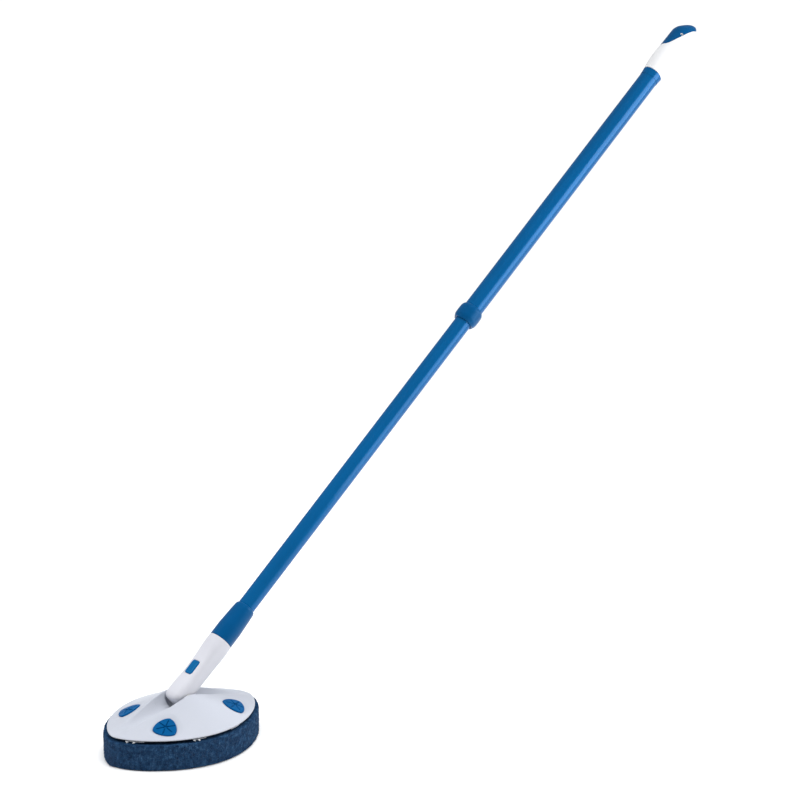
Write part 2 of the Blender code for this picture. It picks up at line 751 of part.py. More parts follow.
def lock_plug():
    """Plug in the inner tube's end with the threaded stud that carries the collet."""
    core = INNER_BORE - FIT_GAP
    profile = [
        (core - 0.001, PLUG_START),
        (core, PLUG_START + 0.001),
        (core, INNER_END + FIT_GAP),
        (INNER_RADIUS, INNER_END + FIT_GAP),
        (INNER_RADIUS, PLUG_FLANGE_END),
        (STUD_RADIUS, PLUG_FLANGE_END),
    ]
    z = PLUG_FLANGE_END + 0.001
    while z < COLLET_END - THREAD_PITCH:
        profile.append((STUD_RADIUS, z))
        profile.append((STUD_RADIUS + THREAD_DEPTH, z + THREAD_PITCH / 2))
        z += THREAD_PITCH
    profile += [(STUD_RADIUS, z), (STUD_RADIUS, STUD_END - 0.001), (STUD_RADIUS - 0.001, STUD_END)]
    return pole_piece("lock_plug", profile, ACETAL, 28, closed=False)


def lock_collet():
    """Split sleeve that spreads inside the outer tube."""
    profile = [
        (COLLET_BORE, COLLET_START),
        (COLLET_RADIUS - 0.001, COLLET_START),
        (COLLET_RADIUS, COLLET_START + 0.001),
        (COLLET_RADIUS, COLLET_END - 0.001),
        (COLLET_RADIUS - 0.001, COLLET_END),
        (COLLET_BORE, COLLET_END),
    ]
    collet = pole_piece("lock_collet", profile, DARK_PLASTIC)
    slit = box_solid((0.0, -COLLET_SLIT / 2, COLLET_START - 0.01), (0.02, COLLET_SLIT / 2, COLLET_END + 0.01))
    boolean(collet, place(new_object("collet_slit", *slit), pole_frame()))
    return collet


def lock_cap():
    inner = STUD_RADIUS + FIT_GAP
    profile = [
        (inner, LOCK_CAP_START),
        (0.0095, LOCK_CAP_START),
        (0.0100, LOCK_CAP_START + 0.0005),
        (0.0100, LOCK_CAP_END - 0.0005),
        (0.0095, LOCK_CAP_END),
        (inner, LOCK_CAP_END),
    ]
    return pole_piece("lock_cap", profile, ACETAL, 36)


def lock_collar():
    """Bulged collar on the outer tube's end."""
    inner, outer = INNER_RADIUS + 0.0004, OUTER_RADIUS + FIT_GAP
    profile = [
        (inner, COLLAR_START),
        (0.0126, COLLAR_START),
        (0.0134, COLLAR_START + 0.0004),
        (0.0143, COLLAR_START + 0.0022),
        (0.0155, COLLAR_START + 0.0046),
        (0.01585, COLLAR_START + 0.0066),
        (COLLAR_RADIUS, COLLAR_START + 0.0098),
        (COLLAR_RADIUS, COLLAR_START + 0.0140),
        (0.01585, COLLAR_START + 0.0172),
        (0.0153, COLLAR_START + 0.0196),
        (0.0143, COLLAR_START + 0.0214),
        (0.0134, COLLAR_END),
        (outer, COLLAR_END),
        (outer, COLLAR_LIP),
        (inner, COLLAR_LIP),
    ]
    return pole_piece("lock_collar", profile, BLUE_PLASTIC, 40)


def collar_wiper():
    inner, outer = INNER_RADIUS + FIT_GAP, OUTER_RADIUS
    low, high = COLLAR_LIP + FIT_GAP, WIPER_END
    profile = [(inner, low), (outer, low), (outer, high), (inner, high)]
    return pole_piece("collar_wiper", profile, BLUE_RUBBER)


def grip_ferrule():
    inner = OUTER_RADIUS + FIT_GAP
    edge = 0.00015
    profile = [
        (inner, FERRULE_START),
        (FERRULE_RADIUS - edge, FERRULE_START),
        (FERRULE_RADIUS, FERRULE_START + edge),
        (FERRULE_RADIUS, OUTER_END - edge),
        (FERRULE_RADIUS - edge, OUTER_END),
        (inner, OUTER_END),
    ]
    return pole_piece("grip_ferrule", profile, BLUE_PLASTIC, 40)


def grip_frame():
    return pole_frame(GRIP_START) @ Matrix.Rotation(GRIP_TURN, 4, "Z")


def grip_body(name, look=None):
    """The whole handle, belly toward its own +x, with a rounded slanting end."""
    rings = []
    for along, belly, back in GRIP_PROFILE:
        centre, half = (belly - back) / 2, (belly + back) / 2
        turn = [2 * math.pi * i / 36 for i in range(36)]
        rings.append([(centre + half * math.cos(a), half * math.sin(a), along) for a in turn])
    return place(new_object(name, *rings_solid(rings), look), grip_frame())


def seam_frame():
    """On the slanting seam, with z pointing off it toward the tip and y across the handle."""
    across = Vector((SEAM_FAR_SIDE - SEAM_NEAR_SIDE, 0, SEAM_FAR - SEAM_NEAR)).normalized()
    side = Vector((0, 1, 0))
    normal = across.cross(side)
    if normal.z < 0:
        across, normal = -across, -normal
    middle = Vector(((SEAM_NEAR_SIDE + SEAM_FAR_SIDE) / 2, 0, (SEAM_NEAR + SEAM_FAR) / 2))
    turn = Matrix((across, side, normal)).transposed().to_4x4()
    return grip_frame() @ Matrix.Translation(middle) @ turn


def hang_hole(name):
    hole = new_object(name, *cross_cylinder(HANG_HOLE_RADIUS, 0.025, 24))
    spot = Matrix.Translation((HANG_HOLE_SIDE, 0, HANG_HOLE_ALONG))
    return place(hole, grip_frame() @ spot)


def tongue(name, gap, end):
    """Block along the handle that keys the insert into the grip."""
    depth, width = TONGUE_HALF_DEPTH + gap, TONGUE_HALF_WIDTH + gap
    ring = rounded_rectangle(depth, width, 0.002, TONGUE_START - gap, 4)
    ring = [(x + TONGUE_CENTRE, y, z) for x, y, z in ring]
    shape = rings_solid([ring, [(x, y, end) for x, y, _ in ring]])
    return place(new_object(name, *shape), grip_frame())


def grip():
    """White handle below the seam, plugged into the outer tube and hollow from below."""
    made = grip_body("grip", WHITE)
    plug = lathe_solid(
        [
            (GRIP_PLUG_RADIUS - 0.0008, GRIP_PLUG_START),
            (GRIP_PLUG_RADIUS, GRIP_PLUG_START + 0.0008),
            (GRIP_PLUG_RADIUS, GRIP_START + 0.006),
        ]
    )
    boolean(made, place(new_object("grip_plug", *plug), pole_frame()), "UNION")
    bore = lathe_solid([(GRIP_BORE_RADIUS, GRIP_PLUG_START - 0.01), (GRIP_BORE_RADIUS, GRIP_BORE_END)], 36)
    boolean(made, place(new_object("grip_bore", *bore), pole_frame()))
    above = box_solid((-0.2, -0.04, -SEAM_GAP), (0.2, 0.04, 0.2))
    boolean(made, place(new_object("above_seam", *above), seam_frame()))
    boolean(made, tongue("tongue_slot", FIT_GAP, 0.12))
    boolean(made, hang_hole("hang_hole_grip"))
    return made


def grip_insert():
    """Blue end above the seam, with the tongue."""
    made = grip_body("grip_insert", BLUE_PLASTIC)
    below = box_solid((-0.2, -0.04, -0.2), (0.2, 0.04, SEAM_GAP))
    boolean(made, place(new_object("below_seam", *below), seam_frame()))
    boolean(made, tongue("insert_tongue", 0.0, TONGUE_END), "UNION")
    boolean(made, hang_hole("hang_hole_insert"))
    return made


# ---------------------------------------------------------------- assembly

def clear_scene():
    for old in list(bpy.data.objects):
        bpy.data.objects.remove(old, do_unlink=True)


def build_head():
    head_cover()
    base_plate()
    scrub_pad()
    for name, frame in gripper_places():
        star_gripper(name, frame)
    for name, x, y in screw_places():
        cover_screw(name, x, y)
    for strip in HOOK_STRIPS:
        hook_strip(*strip)
    pivot_pin()
    for name, side in (("rear", 1), ("front", -1)):
        pin_washer(f"pin_washer_{name}", side)
        pivot_saddle(f"pivot_saddle_{name}", side)


def build_pole():
    neck()
    release_button()
    button_spring()
    pole_cuff()
    tube("inner_tube", INNER_RADIUS, INNER_BORE, INNER_START, INNER_END)
    lock_plug()
    lock_collet()
    lock_cap()
    tube("outer_tube", OUTER_RADIUS, OUTER_BORE, OUTER_START, OUTER_END)
    lock_collar()
    collar_wiper()
    grip_ferrule()
    grip()
    grip_insert()


clear_scene()
build_head()
build_pole()
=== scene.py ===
import math
import random

import bmesh
import bpy
import numpy as np
from mathutils import Matrix, Vector


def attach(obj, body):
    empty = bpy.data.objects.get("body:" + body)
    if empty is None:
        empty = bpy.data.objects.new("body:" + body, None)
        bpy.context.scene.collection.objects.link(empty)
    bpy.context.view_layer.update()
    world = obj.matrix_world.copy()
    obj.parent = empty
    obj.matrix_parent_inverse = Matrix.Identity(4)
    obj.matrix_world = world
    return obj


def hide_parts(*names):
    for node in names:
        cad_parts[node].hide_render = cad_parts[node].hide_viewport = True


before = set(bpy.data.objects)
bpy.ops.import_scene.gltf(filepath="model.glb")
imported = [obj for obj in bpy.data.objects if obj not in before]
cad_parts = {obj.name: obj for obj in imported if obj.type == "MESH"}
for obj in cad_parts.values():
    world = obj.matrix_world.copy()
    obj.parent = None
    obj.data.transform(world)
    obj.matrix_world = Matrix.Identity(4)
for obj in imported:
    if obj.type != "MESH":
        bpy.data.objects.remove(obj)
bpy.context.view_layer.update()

# Head outline and dome, as in the CAD
OUTLINE = (0.0868, 0.0138, 0.0022)
RIM_BOTTOM, RIM_TOP = 0.0356, 0.0371
DOME_RISE, DOME_POWER = 0.0378, 1.12
GRIPPER_SPOT = (0.0522, 0.0366)
GRIPPER_RADIUS, GRIPPER_LOBE = 0.0142, 0.0014
PAD_OVERHANG, PAD_HEIGHT = 0.0048, 0.0322
PAD_REACH, PAD_TAPER_FROM = 0.0800, 0.055
PAD_EDGE, PAD_TOP_EDGE = 0.0026, 0.0016
PAD_STRAND_COUNT, PAD_STRAND_PLACES = 5200, 4000
POCKET_HALF_X, POCKET_HALF_Y, POCKET_CORNER, POCKET_FLOOR = 0.0136, 0.0154, 0.0024, 0.0410
VALLEY_START, VALLEY_FLOOR, VALLEY_FALL, VALLEY_POWER = 0.013, 0.0475, 0.102, 2.1
VALLEY_HALF_WIDTH, VALLEY_TAPER_FROM, VALLEY_TAPER = 0.0172, 0.030, 0.20
DISH_DEPTH, DISH_LEDGE, DISH_WIDTH = 0.0014, 0.0006, 0.0062
GRIPPER_SPAN, GRIPPER_ROLL = 0.0127, 0.0014
SLIT_TURNS, SLIT_DEPTH, SLIT_WIDTH, SLIT_OPENING = (0.0, 60.0, 120.0), 0.0016, 0.00046, 0.00020

# Hook tape strips: name, middle in x, half width, x of the frayed spots at the rim
HOOK_STRIPS = (
    ("left", -0.0880, 0.0060, (0.0955, 0.0908)),
    ("inner_left", -0.0270, 0.0080, (0.0350, 0.0302)),
    ("inner_right", 0.0270, 0.0080, (0.0350, 0.0302)),
    ("right", 0.0880, 0.0060, (0.0955, 0.0908)),
)
HOOK_BACKING = (0.03330, 0.03395)

# Pole line
LEAN = math.radians(50.75)
AXIS_HEIGHT = 0.0646
BUTTON_CENTRE = 0.0310
# The button and its well: half length, half width and corner radius
BUTTON, WELL = (0.0096, 0.0063, 0.0030), (0.0100, 0.0067, 0.0034)
BUTTON_BOTTOM, BUTTON_SHOULDER, BUTTON_SPAN, BUTTON_ROLL = 0.0080, 0.0098, 0.0062, 0.0012
WELL_LEVELS = (0.0053, 0.0150, 0.0200)
NECK_MOUTH, NECK_MOUTH_RADIUS = 0.0787, 0.0150
# Tubes: radius, radius of the bore, start and end along the pole
INNER_TUBE = (0.0110, 0.0100, 0.0925, 0.6640)
OUTER_TUBE = (0.0125, 0.0116, 0.6030, 1.0358)
COLLAR_START = 0.5948
POLE_TURNS = 96
GRIP_START = 1.0362
GRIP_TURN = math.radians(139)
SEAM = (0.0148, 0.0433, -0.0141, 0.0920)
# The seam's bow towards the white part: distance from the seam's middle, depth
SEAM_BOW = ((-0.0300, 0.0016), (-0.0283, 0.0029), (-0.0265, 0.0041), (-0.0225, 0.0047), (-0.0160, 0.0043),
            (-0.0060, 0.0032), (0.0060, 0.0017), (0.0150, 0.0007), (0.0300, 0.0004))
SEAM_HALF_GAP = 0.00015
HANG_HOLE_SIDE, HANG_HOLE_ALONG, HANG_HOLE_RADIUS = 0.0010, 0.0656, 0.0019
GRIP_TURNS, HOLE_TURNS = 96, 48
# Radius and distance from the middle of the hole
EYELET = ((0.0010, -0.0125), (0.0014, -0.0136), (0.0018, -0.0137), (0.00185, -0.0135),
          (0.00185, 0.0135), (0.0018, 0.0137), (0.0014, 0.0136), (0.0010, 0.0125))

# Stage: the camera, and each soft light's place, target, width, height and radiance
CAMERA_PLACE, CAMERA_AHEAD = (-1.87769, -2.45167, 1.29529), (0.647668, 0.711839, -0.271682)
CAMERA_LENS = 124.29
WORLD_COLOUR, WORLD_STRENGTH = (0.97, 0.985, 1.0, 1.0), 0.28
SUN_PLACE, SUN_STRENGTH, SUN_SPREAD = (0.25, -0.35, 3.0), 2.75, 55
STRIP_ALONG, STRIP_OFFSET, STRIP = 0.76, (0.37, -0.79, 0.02), (0.75, 0.95, 2.5)
TOP_PANEL = ((1.55, -1.35, 0.85), (0.75, 0, 0.62), 1.0, 0.9, 1.8)
FILLS = (("left_fill", (-1.3, 1.1, 1.7), 0.75), ("right_fill", (1.7, 0.5, 1.0), 0.30))


# ---------------------------------------------------------------- node materials

def nodes_of(name):
    made = bpy.data.materials.new(name)
    made.use_nodes = True
    tree = made.node_tree
    shader = tree.nodes["Principled BSDF"]
    return made, tree, shader


def node(tree, kind, inputs=None, **settings):
    made = tree.nodes.new(kind)
    for key, value in settings.items():
        setattr(made, key, value)
    for key, value in (inputs or {}).items():
        if isinstance(value, bpy.types.NodeSocket):
            tree.links.new(value, made.inputs[key])
        else:
            made.inputs[key].default_value = value
    return made


def ramp(tree, fac, stops):
    """Colours at (position, colour) stops."""
    made = node(tree, "ShaderNodeValToRGB", {"Fac": fac})
    elements = made.color_ramp.elements
    while len(elements) < len(stops):
        elements.new(0.5)
    for element, (position, colour) in zip(elements, stops):
        element.position = position
        element.color = (*colour, 1.0)
    return made.outputs["Color"]


def level(tree, value, low, high, start=0.0, end=1.0):
    """Maps start to end onto low to high."""
    made = node(tree, "ShaderNodeMapRange", {"Value": value, "From Min": start, "From Max": end,
                                             "To Min": low, "To Max": high})
    return made.outputs["Result"]


def noise(tree, place, scale, detail=None, roughness=None):
    inputs = {"Vector": place, "Scale": scale, "Detail": detail, "Roughness": roughness}
    made = node(tree, "ShaderNodeTexNoise", {k: v for k, v in inputs.items() if v is not None})
    return made.outputs["Fac"]


def bumped(tree, shader, height, strength, distance):
    made = node(tree, "ShaderNodeBump", {"Height": height, "Strength": strength, "Distance": distance})
    tree.links.new(made.outputs["Normal"], shader.inputs["Normal"])


def coloured(tree, shader, fac, stops):
    tree.links.new(ramp(tree, fac, stops), shader.inputs["Base Color"])


def moulded(name, colour, roughness, grain=0.03, mottle=0.03, gloss_level=0.5, gloss_tint=(1, 1, 1)):
    """Injection-moulded plastic: fine texture, faint flow mottling, scuffs that change the gloss."""
    made, tree, shader = nodes_of(name)
    place = node(tree, "ShaderNodeTexCoord").outputs["Object"]
    dark = tuple(max(0.0, c * (1 - mottle * 1.6)) for c in colour)
    light = tuple(min(1.0, c * (1 + mottle)) for c in colour)
    coloured(tree, shader, noise(tree, place, 26.0, 4.0, 0.55), ((0.30, dark), (0.72, light)))
    stretch = node(tree, "ShaderNodeMapping", {"Vector": place, "Scale": (1.0, 1.0, 6.0)})
    marks = noise(tree, stretch.outputs["Vector"], 190.0, 5.0, 0.7)
    gloss = level(tree, marks, roughness * 0.90, roughness * 1.14, 0.35, 0.7)
    tree.links.new(gloss, shader.inputs["Roughness"])
    bumped(tree, shader, noise(tree, place, 950.0, 3.0, 0.6), grain * 6, 0.00012)
    shader.inputs["Specular IOR Level"].default_value = gloss_level
    shader.inputs["Specular Tint"].default_value = (*gloss_tint, 1.0)
    return made


def painted_tube(name, colour, roughness, axis_turn):
    """Gloss paint on a drawn aluminium tube: faint draw lines along it and slow changes of tone."""
    made, tree, shader = nodes_of(name)
    place = node(tree, "ShaderNodeTexCoord").outputs["Object"]
    along = node(tree, "ShaderNodeMapping", {"Vector": place, "Rotation": (0.0, axis_turn, 0.0),
                                             "Scale": (1.0, 1.0, 0.01)})
    lines = noise(tree, along.outputs["Vector"], 700.0, 2.0)
    dark = tuple(c * 0.94 for c in colour)
    light = tuple(min(1.0, c * 1.05) for c in colour)
    coloured(tree, shader, noise(tree, place, 9.0, 4.0, 0.6), ((0.3, dark), (0.7, light)))
    gloss = level(tree, lines, roughness * 0.92, roughness * 1.10, 0.3, 0.7)
    tree.links.new(gloss, shader.inputs["Roughness"])
    bumped(tree, shader, noise(tree, place, 380.0, 2.0), 0.02, 0.00003)
    shader.inputs["Metallic"].default_value = 0.22
    shader.inputs["Specular IOR Level"].default_value = 0.10
    shader.inputs["Specular Tint"].default_value = (0.20, 0.50, 0.95, 1.0)
    shader.inputs["Coat Weight"].default_value = 0.36
    shader.inputs["Coat Roughness"].default_value = 0.10
    return made


def abrasive(name, dark, mid, light):
    """Nonwoven nylon web: crossed fibres at several scales, grit specks, and painted shade that darkens
    the pits between the fibres.
    """
    made, tree, shader = nodes_of(name)
    place = node(tree, "ShaderNodeTexCoord").outputs["Object"]
    warp = node(tree, "ShaderNodeTexNoise", {"Vector": place, "Scale": 160.0, "Detail": 2.0})
    bent = node(tree, "ShaderNodeVectorMath", {0: warp.outputs["Color"], 1: (0.0035, 0.0035, 0.0035)},
                operation="MULTIPLY")
    curved = node(tree, "ShaderNodeVectorMath", {0: place, 1: bent.outputs["Vector"]}, operation="ADD")
    fibres = []
    for turn, seed in (((0.4, 0.9, 0.2), 0.0), ((1.3, 0.3, 1.1), 3.1), ((0.2, 2.0, 2.2), 7.7)):
        spun = node(tree, "ShaderNodeMapping", {"Vector": curved.outputs["Vector"], "Rotation": turn,
                                                "Location": (seed, seed, seed), "Scale": (1.0, 1.0, 0.10)})
        fibres.append(noise(tree, spun.outputs["Vector"], 1150.0, 1.5, 0.5))
    first = node(tree, "ShaderNodeMath", {0: fibres[0], 1: fibres[1]}, operation="MAXIMUM")
    web = node(tree, "ShaderNodeMath", {0: first.outputs["Value"], 1: fibres[2]}, operation="MAXIMUM")
    lumps = noise(tree, place, 210.0, 3.0, 0.65)
    # The web's low places are painted darker, following the same fibres and lumps as the bump below:
    # painted shade in the pits.
    mixed = node(tree, "ShaderNodeMath", {0: web.outputs["Value"], 1: lumps}, operation="MULTIPLY")
    shade = ramp(tree, mixed.outputs["Value"], ((0.17, dark), (0.33, mid), (0.50, light)))
    grit = node(tree, "ShaderNodeTexVoronoi", {"Vector": place, "Scale": 620.0})
    spark = level(tree, grit.outputs["Distance"], 1.0, 0.0, 0.10, 0.22)
    where = level(tree, noise(tree, place, 75.0, 2.0), 0.0, 0.75, 0.50, 0.66)
    specks = node(tree, "ShaderNodeMath", {0: spark, 1: where}, operation="MULTIPLY")
    pale = tuple(min(1.0, c * 2.2 + 0.01) for c in light)
    blend = node(tree, "ShaderNodeMix", {"Factor": specks.outputs["Value"], "A": shade, "B": (*pale, 1.0)},
                 data_type="RGBA")
    tree.links.new(blend.outputs["Result"], shader.inputs["Base Color"])
    height = node(tree, "ShaderNodeMath", {0: web.outputs["Value"], 1: lumps}, operation="ADD")
    bumped(tree, shader, height.outputs["Value"], 0.9, 0.0012)
    shader.inputs["Roughness"].default_value = 0.90
    shader.inputs["Specular IOR Level"].default_value = 0.12
    shader.inputs["Specular Tint"].default_value = (0.35, 0.65, 1.0, 1.0)
    return made


def fibre(name, dark, light, roughness=0.7):
    """Single nylon fibres, with slow changes of tone."""
    made, tree, shader = nodes_of(name)
    place = node(tree, "ShaderNodeTexCoord").outputs["Object"]
    coloured(tree, shader, noise(tree, place, 240.0, 2.0), ((0.35, dark), (0.65, light)))
    bumped(tree, shader, noise(tree, place, 3000.0), 0.3, 0.00005)
    shader.inputs["Roughness"].default_value = roughness
    return made


def steel(name, colour, roughness, scale):
    """Turned or drawn bright steel with fine tool lines."""
    made, tree, shader = nodes_of(name)
    place = node(tree, "ShaderNodeTexCoord").outputs["Object"]
    lines = noise(tree, place, scale, 4.0, 0.7)
    gloss = level(tree, lines, roughness * 0.7, roughness * 1.5, 0.3, 0.7)
    tree.links.new(gloss, shader.inputs["Roughness"])
    coloured(tree, shader, lines, ((0.3, tuple(c * 0.85 for c in colour)), (0.7, colour)))
    bumped(tree, shader, lines, 0.15, 0.00005)
    shader.inputs["Metallic"].default_value = 1.0
    return made


BLUE_SHEEN = (0.20, 0.50, 0.90)
HEAD_WHITE = moulded("head_white_look", (0.450, 0.472, 0.531), 0.42, 0.02, 0.012, 0.35)
NECK_WHITE = moulded("neck_white_look", (0.568, 0.573, 0.625), 0.42, 0.02, 0.012, 0.35)
GRIP_WHITE = moulded("grip_white_look", (0.780, 0.785, 0.800), 0.45, 0.05, 0.012, 0.35)
BLUE_PLASTIC = moulded("blue_plastic_look", (0.001, 0.070, 0.205), 0.33, 0.02, 0.06, 0.35, BLUE_SHEEN)
BUTTON_BLUE = moulded("button_blue_look", (0.004, 0.108, 0.285), 0.36, 0.03, 0.05, 0.20, BLUE_SHEEN)
GRIPPER_RUBBER = moulded("gripper_rubber_look", (0.001, 0.078, 0.232), 0.50, 0.07, 0.06, 0.18, BLUE_SHEEN)
# Dark plastic for the lock collet, and for the base plate as painted shade: it makes the gap under the
# head's rim come out dark.
DARK_PLASTIC_AND_GAP_SHADE = moulded("dark_plastic_and_gap_shade_look", (0.010, 0.014, 0.028), 0.55, 0.06, 0.08)
ACETAL = moulded("acetal_look", (0.60, 0.60, 0.57), 0.42, 0.03, 0.02)
TUBE_PAINT = painted_tube("tube_paint_look", (0.0001, 0.099, 0.284), 0.24, -LEAN)
PAD_WEB = abrasive("pad_web_look", (0.0045, 0.0150, 0.0430), (0.0150, 0.0480, 0.1120),
                   (0.0580, 0.1320, 0.2450))
PAD_STRAND = fibre("pad_strand_look", (0.008, 0.035, 0.105), (0.030, 0.095, 0.215))
HOOK_NYLON = fibre("hook_nylon_look", (0.55, 0.57, 0.60), (0.80, 0.82, 0.85), 0.5)
STEEL = steel("steel_look", (0.56, 0.57, 0.58), 0.24, 500.0)


# ---------------------------------------------------------------- mesh helpers

def mesh_of(name, points, faces):
    mesh = bpy.data.meshes.new(name)
    mesh.from_pydata([tuple(p) for p in points], [], [tuple(f) for f in faces])
    shape = bmesh.new()
    shape.from_mesh(mesh)
    bmesh.ops.recalc_face_normals(shape, faces=shape.faces)
    shape.to_mesh(mesh)
    shape.free()
    return mesh


def linked(name, data):
    made = bpy.data.objects.new(name, data)
    bpy.context.scene.collection.objects.link(made)
    return made


def smoothed(mesh, sharp):
    mesh.shade_smooth()
    mesh.set_sharp_from_angle(angle=math.radians(sharp))


def piece(name, points, faces, look, body, sharp=35.0, stands_for=()):
    mesh = mesh_of(name, points, faces)
    mesh.materials.append(look)
    smoothed(mesh, sharp)
    made = linked(name, mesh)
    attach(made, body)
    if stands_for:
        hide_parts(*stands_for)
    return made


def grid_faces(rows, columns, close_rows=False):
    """Faces between rings of points; the first and last ring are capped or joined to each other."""
    faces = []
    for k in range(rows if close_rows else rows - 1):
        low, high = k * columns, ((k + 1) % rows) * columns
        for i in range(columns):
            j = (i + 1) % columns
            faces.append((low + i, low + j, high + j, high + i))
    if not close_rows:
        faces.append(tuple(range(columns)))
        faces.append(tuple((rows - 1) * columns + i for i in range(columns)))
    return faces


def moved(points, matrix):
    points = np.asarray(points, float)
    m = np.array(matrix)
    return points @ m[:3, :3].T + m[:3, 3]


def level_ring(x, y, height):
    """A ring of points at one height, or at a height for each point."""
    return np.stack([x, y, np.full(len(x), height)], 1)


def circle(radius, height, steps, centre=0.0):
    turn = 2 * np.pi * np.arange(steps) / steps
    return level_ring(centre + radius * np.cos(turn), radius * np.sin(turn), height)


def smooth_step(low, high, value):
    t = np.clip((value - low) / (high - low), 0, 1)
    return t * t * (3 - 2 * t)


def smooth_min(a, b, k):
    h = np.clip(0.5 + 0.5 * (b - a) / k, 0, 1)
    return b * (1 - h) + a * h - k * h * (1 - h)


def curve_through(stations, values, at):
    """Smooth curve through the stations, without overshoot."""
    x, y = np.asarray(stations, float), np.asarray(values, float)
    step = np.diff(x)
    slope = np.diff(y) / step
    tangent = np.zeros(len(x))
    same = slope[:-1] * slope[1:] > 0
    tangent[1:-1][same] = 2 * slope[:-1][same] * slope[1:][same] / (slope[:-1] + slope[1:])[same]
    tangent[0], tangent[-1] = slope[0], slope[-1]
    k = np.clip(np.searchsorted(x, at) - 1, 0, len(step) - 1)
    t = (at - x[k]) / step[k]
    h = step[k]
    return ((2 * t**3 - 3 * t**2 + 1) * y[k] + (t**3 - 2 * t**2 + t) * h * tangent[k]
            + (3 * t**2 - 2 * t**3) * y[k + 1] + (t**3 - t**2) * h * tangent[k + 1])


def pole_frame(along=0.0):
    """A frame on the pole's axis: z up the pole, x to its underside."""
    axis = Matrix.Translation((0, 0, AXIS_HEIGHT)) @ Matrix.Rotation(LEAN, 4, "Y")
    return axis @ Matrix.Translation((0, 0, along))


def turned(name, profile, look, body, stands_for):
    """A turned piece on the pole's axis from a closed profile of (radius, distance along the pole)."""
    points = moved(np.concatenate([circle(r, z, POLE_TURNS) for r, z in profile]), pole_frame())
    faces = grid_faces(len(profile), POLE_TURNS, close_rows=True)
    return piece(name, points, faces, look, body, 28.0, stands_for)


# ---------------------------------------------------------------- head cover

def support(angle):
    """Distance from the middle to the outline's tangent that faces this way."""
    mean, second, fourth = OUTLINE
    return mean + second * np.cos(2 * angle) + fourth * np.cos(4 * angle)


def outline(offset, count):
    """Points of the outline moved outward by offset."""
    _, second, fourth = OUTLINE
    a = 2 * np.pi * np.arange(count) / count
    h = support(a) + offset
    slope = -2 * second * np.sin(2 * a) - 4 * fourth * np.sin(4 * a)
    return h * np.cos(a) - slope * np.sin(a), h * np.sin(a) + slope * np.cos(a)


def gauge(x, y):
    """How far out a point is: 0 in the middle, 1 on the outline."""
    best = np.zeros_like(x)
    for a in np.linspace(0, 2 * np.pi, 720, endpoint=False):
        best = np.maximum(best, (x * math.cos(a) + y * math.sin(a)) / support(a))
    return best


def dome(fraction):
    return RIM_TOP + DOME_RISE * np.clip(1 - fraction, 0, 1) ** DOME_POWER


def dome_frame(x, y):
    """A frame on the dome: x inward, z off its surface."""
    step = 0.0005
    here, beside, behind = dome(gauge(np.array([x, x + step, x]), np.array([y, y, y + step])))
    normal = Vector((-(beside - here) / step, -(behind - here) / step, 1)).normalized()
    inward = Vector((-x, -y, 0)).normalized()
    inward = (inward - normal * inward.dot(normal)).normalized()
    side = normal.cross(inward)
    turn = Matrix((inward, side, normal)).transposed().to_4x4()
    return Matrix.Translation((x, y, here)) @ turn


def gripper_places():
    names = {(-1, 1): "rear_left", (-1, -1): "front_left", (1, -1): "front_right", (1, 1): "rear_right"}
    for (sx, sy), name in names.items():
        yield name, dome_frame(sx * GRIPPER_SPOT[0], sy * GRIPPER_SPOT[1])


def lobe_gauge(u, v):
    """Distance outside the gripper's outline, in metres; negative inside."""
    best = np.full_like(u, -1.0)
    for a in np.linspace(0, 2 * np.pi, 90, endpoint=False):
        reach = GRIPPER_RADIUS + GRIPPER_LOBE * math.cos(3 * a)
        best = np.maximum(best, u * math.cos(a) + v * math.sin(a) - reach)
    return best


def pocket_distance(x, y):
    """Distance outside the pocket's rounded rectangle; negative inside."""
    dx = np.abs(x) - POCKET_HALF_X + POCKET_CORNER
    dy = np.abs(y) - POCKET_HALF_Y + POCKET_CORNER
    outside = np.hypot(np.maximum(dx, 0), np.maximum(dy, 0))
    return outside + np.minimum(np.maximum(dx, dy), 0) - POCKET_CORNER


def cover_height(x, y, fraction):
    """The dome with the valley, the room for the neck, the grippers' dishes and the pocket taken out."""
    top = dome(fraction)
    ax = np.abs(x)
    half = VALLEY_HALF_WIDTH - VALLEY_TAPER * np.maximum(0, ax - VALLEY_TAPER_FROM)
    floor = VALLEY_FLOOR - VALLEY_FALL * (ax - VALLEY_START)
    crest = np.maximum(dome(gauge(ax, half)), floor + 0.0003)
    valley = floor + (crest - floor) * (np.abs(y) / half) ** VALLEY_POWER
    soft = 0.0005 + 0.0026 * smooth_step(0.045, 0.085, ax) + 0.0012 * smooth_step(-0.002, 0.002, y)
    valley = valley + 0.03 * smooth_step(0.010, 0.002, ax)
    z = smooth_min(top, valley, soft)
    beside = smooth_step(0.0060, 0.0090, np.abs(y)) * (1 - smooth_step(0.0140, 0.0180, np.abs(y)))
    z = z - 0.0008 * beside * (1 - smooth_step(0.0150, 0.0260, ax))
    for _, place in gripper_places():
        back = place.inverted()
        local = moved(np.stack([x, y, top], 1), back)
        near = lobe_gauge(local[:, 0], local[:, 1])
        slope = 1 - np.clip((near - DISH_LEDGE) / DISH_WIDTH, 0, 1)
        z = z - DISH_DEPTH * slope**1.2 - 0.0004 * (1 - smooth_step(0.0, 0.0012, near))
    wall = smooth_step(-0.0005, 0.0006, pocket_distance(x, y))
    return POCKET_FLOOR + (z - POCKET_FLOOR) * wall


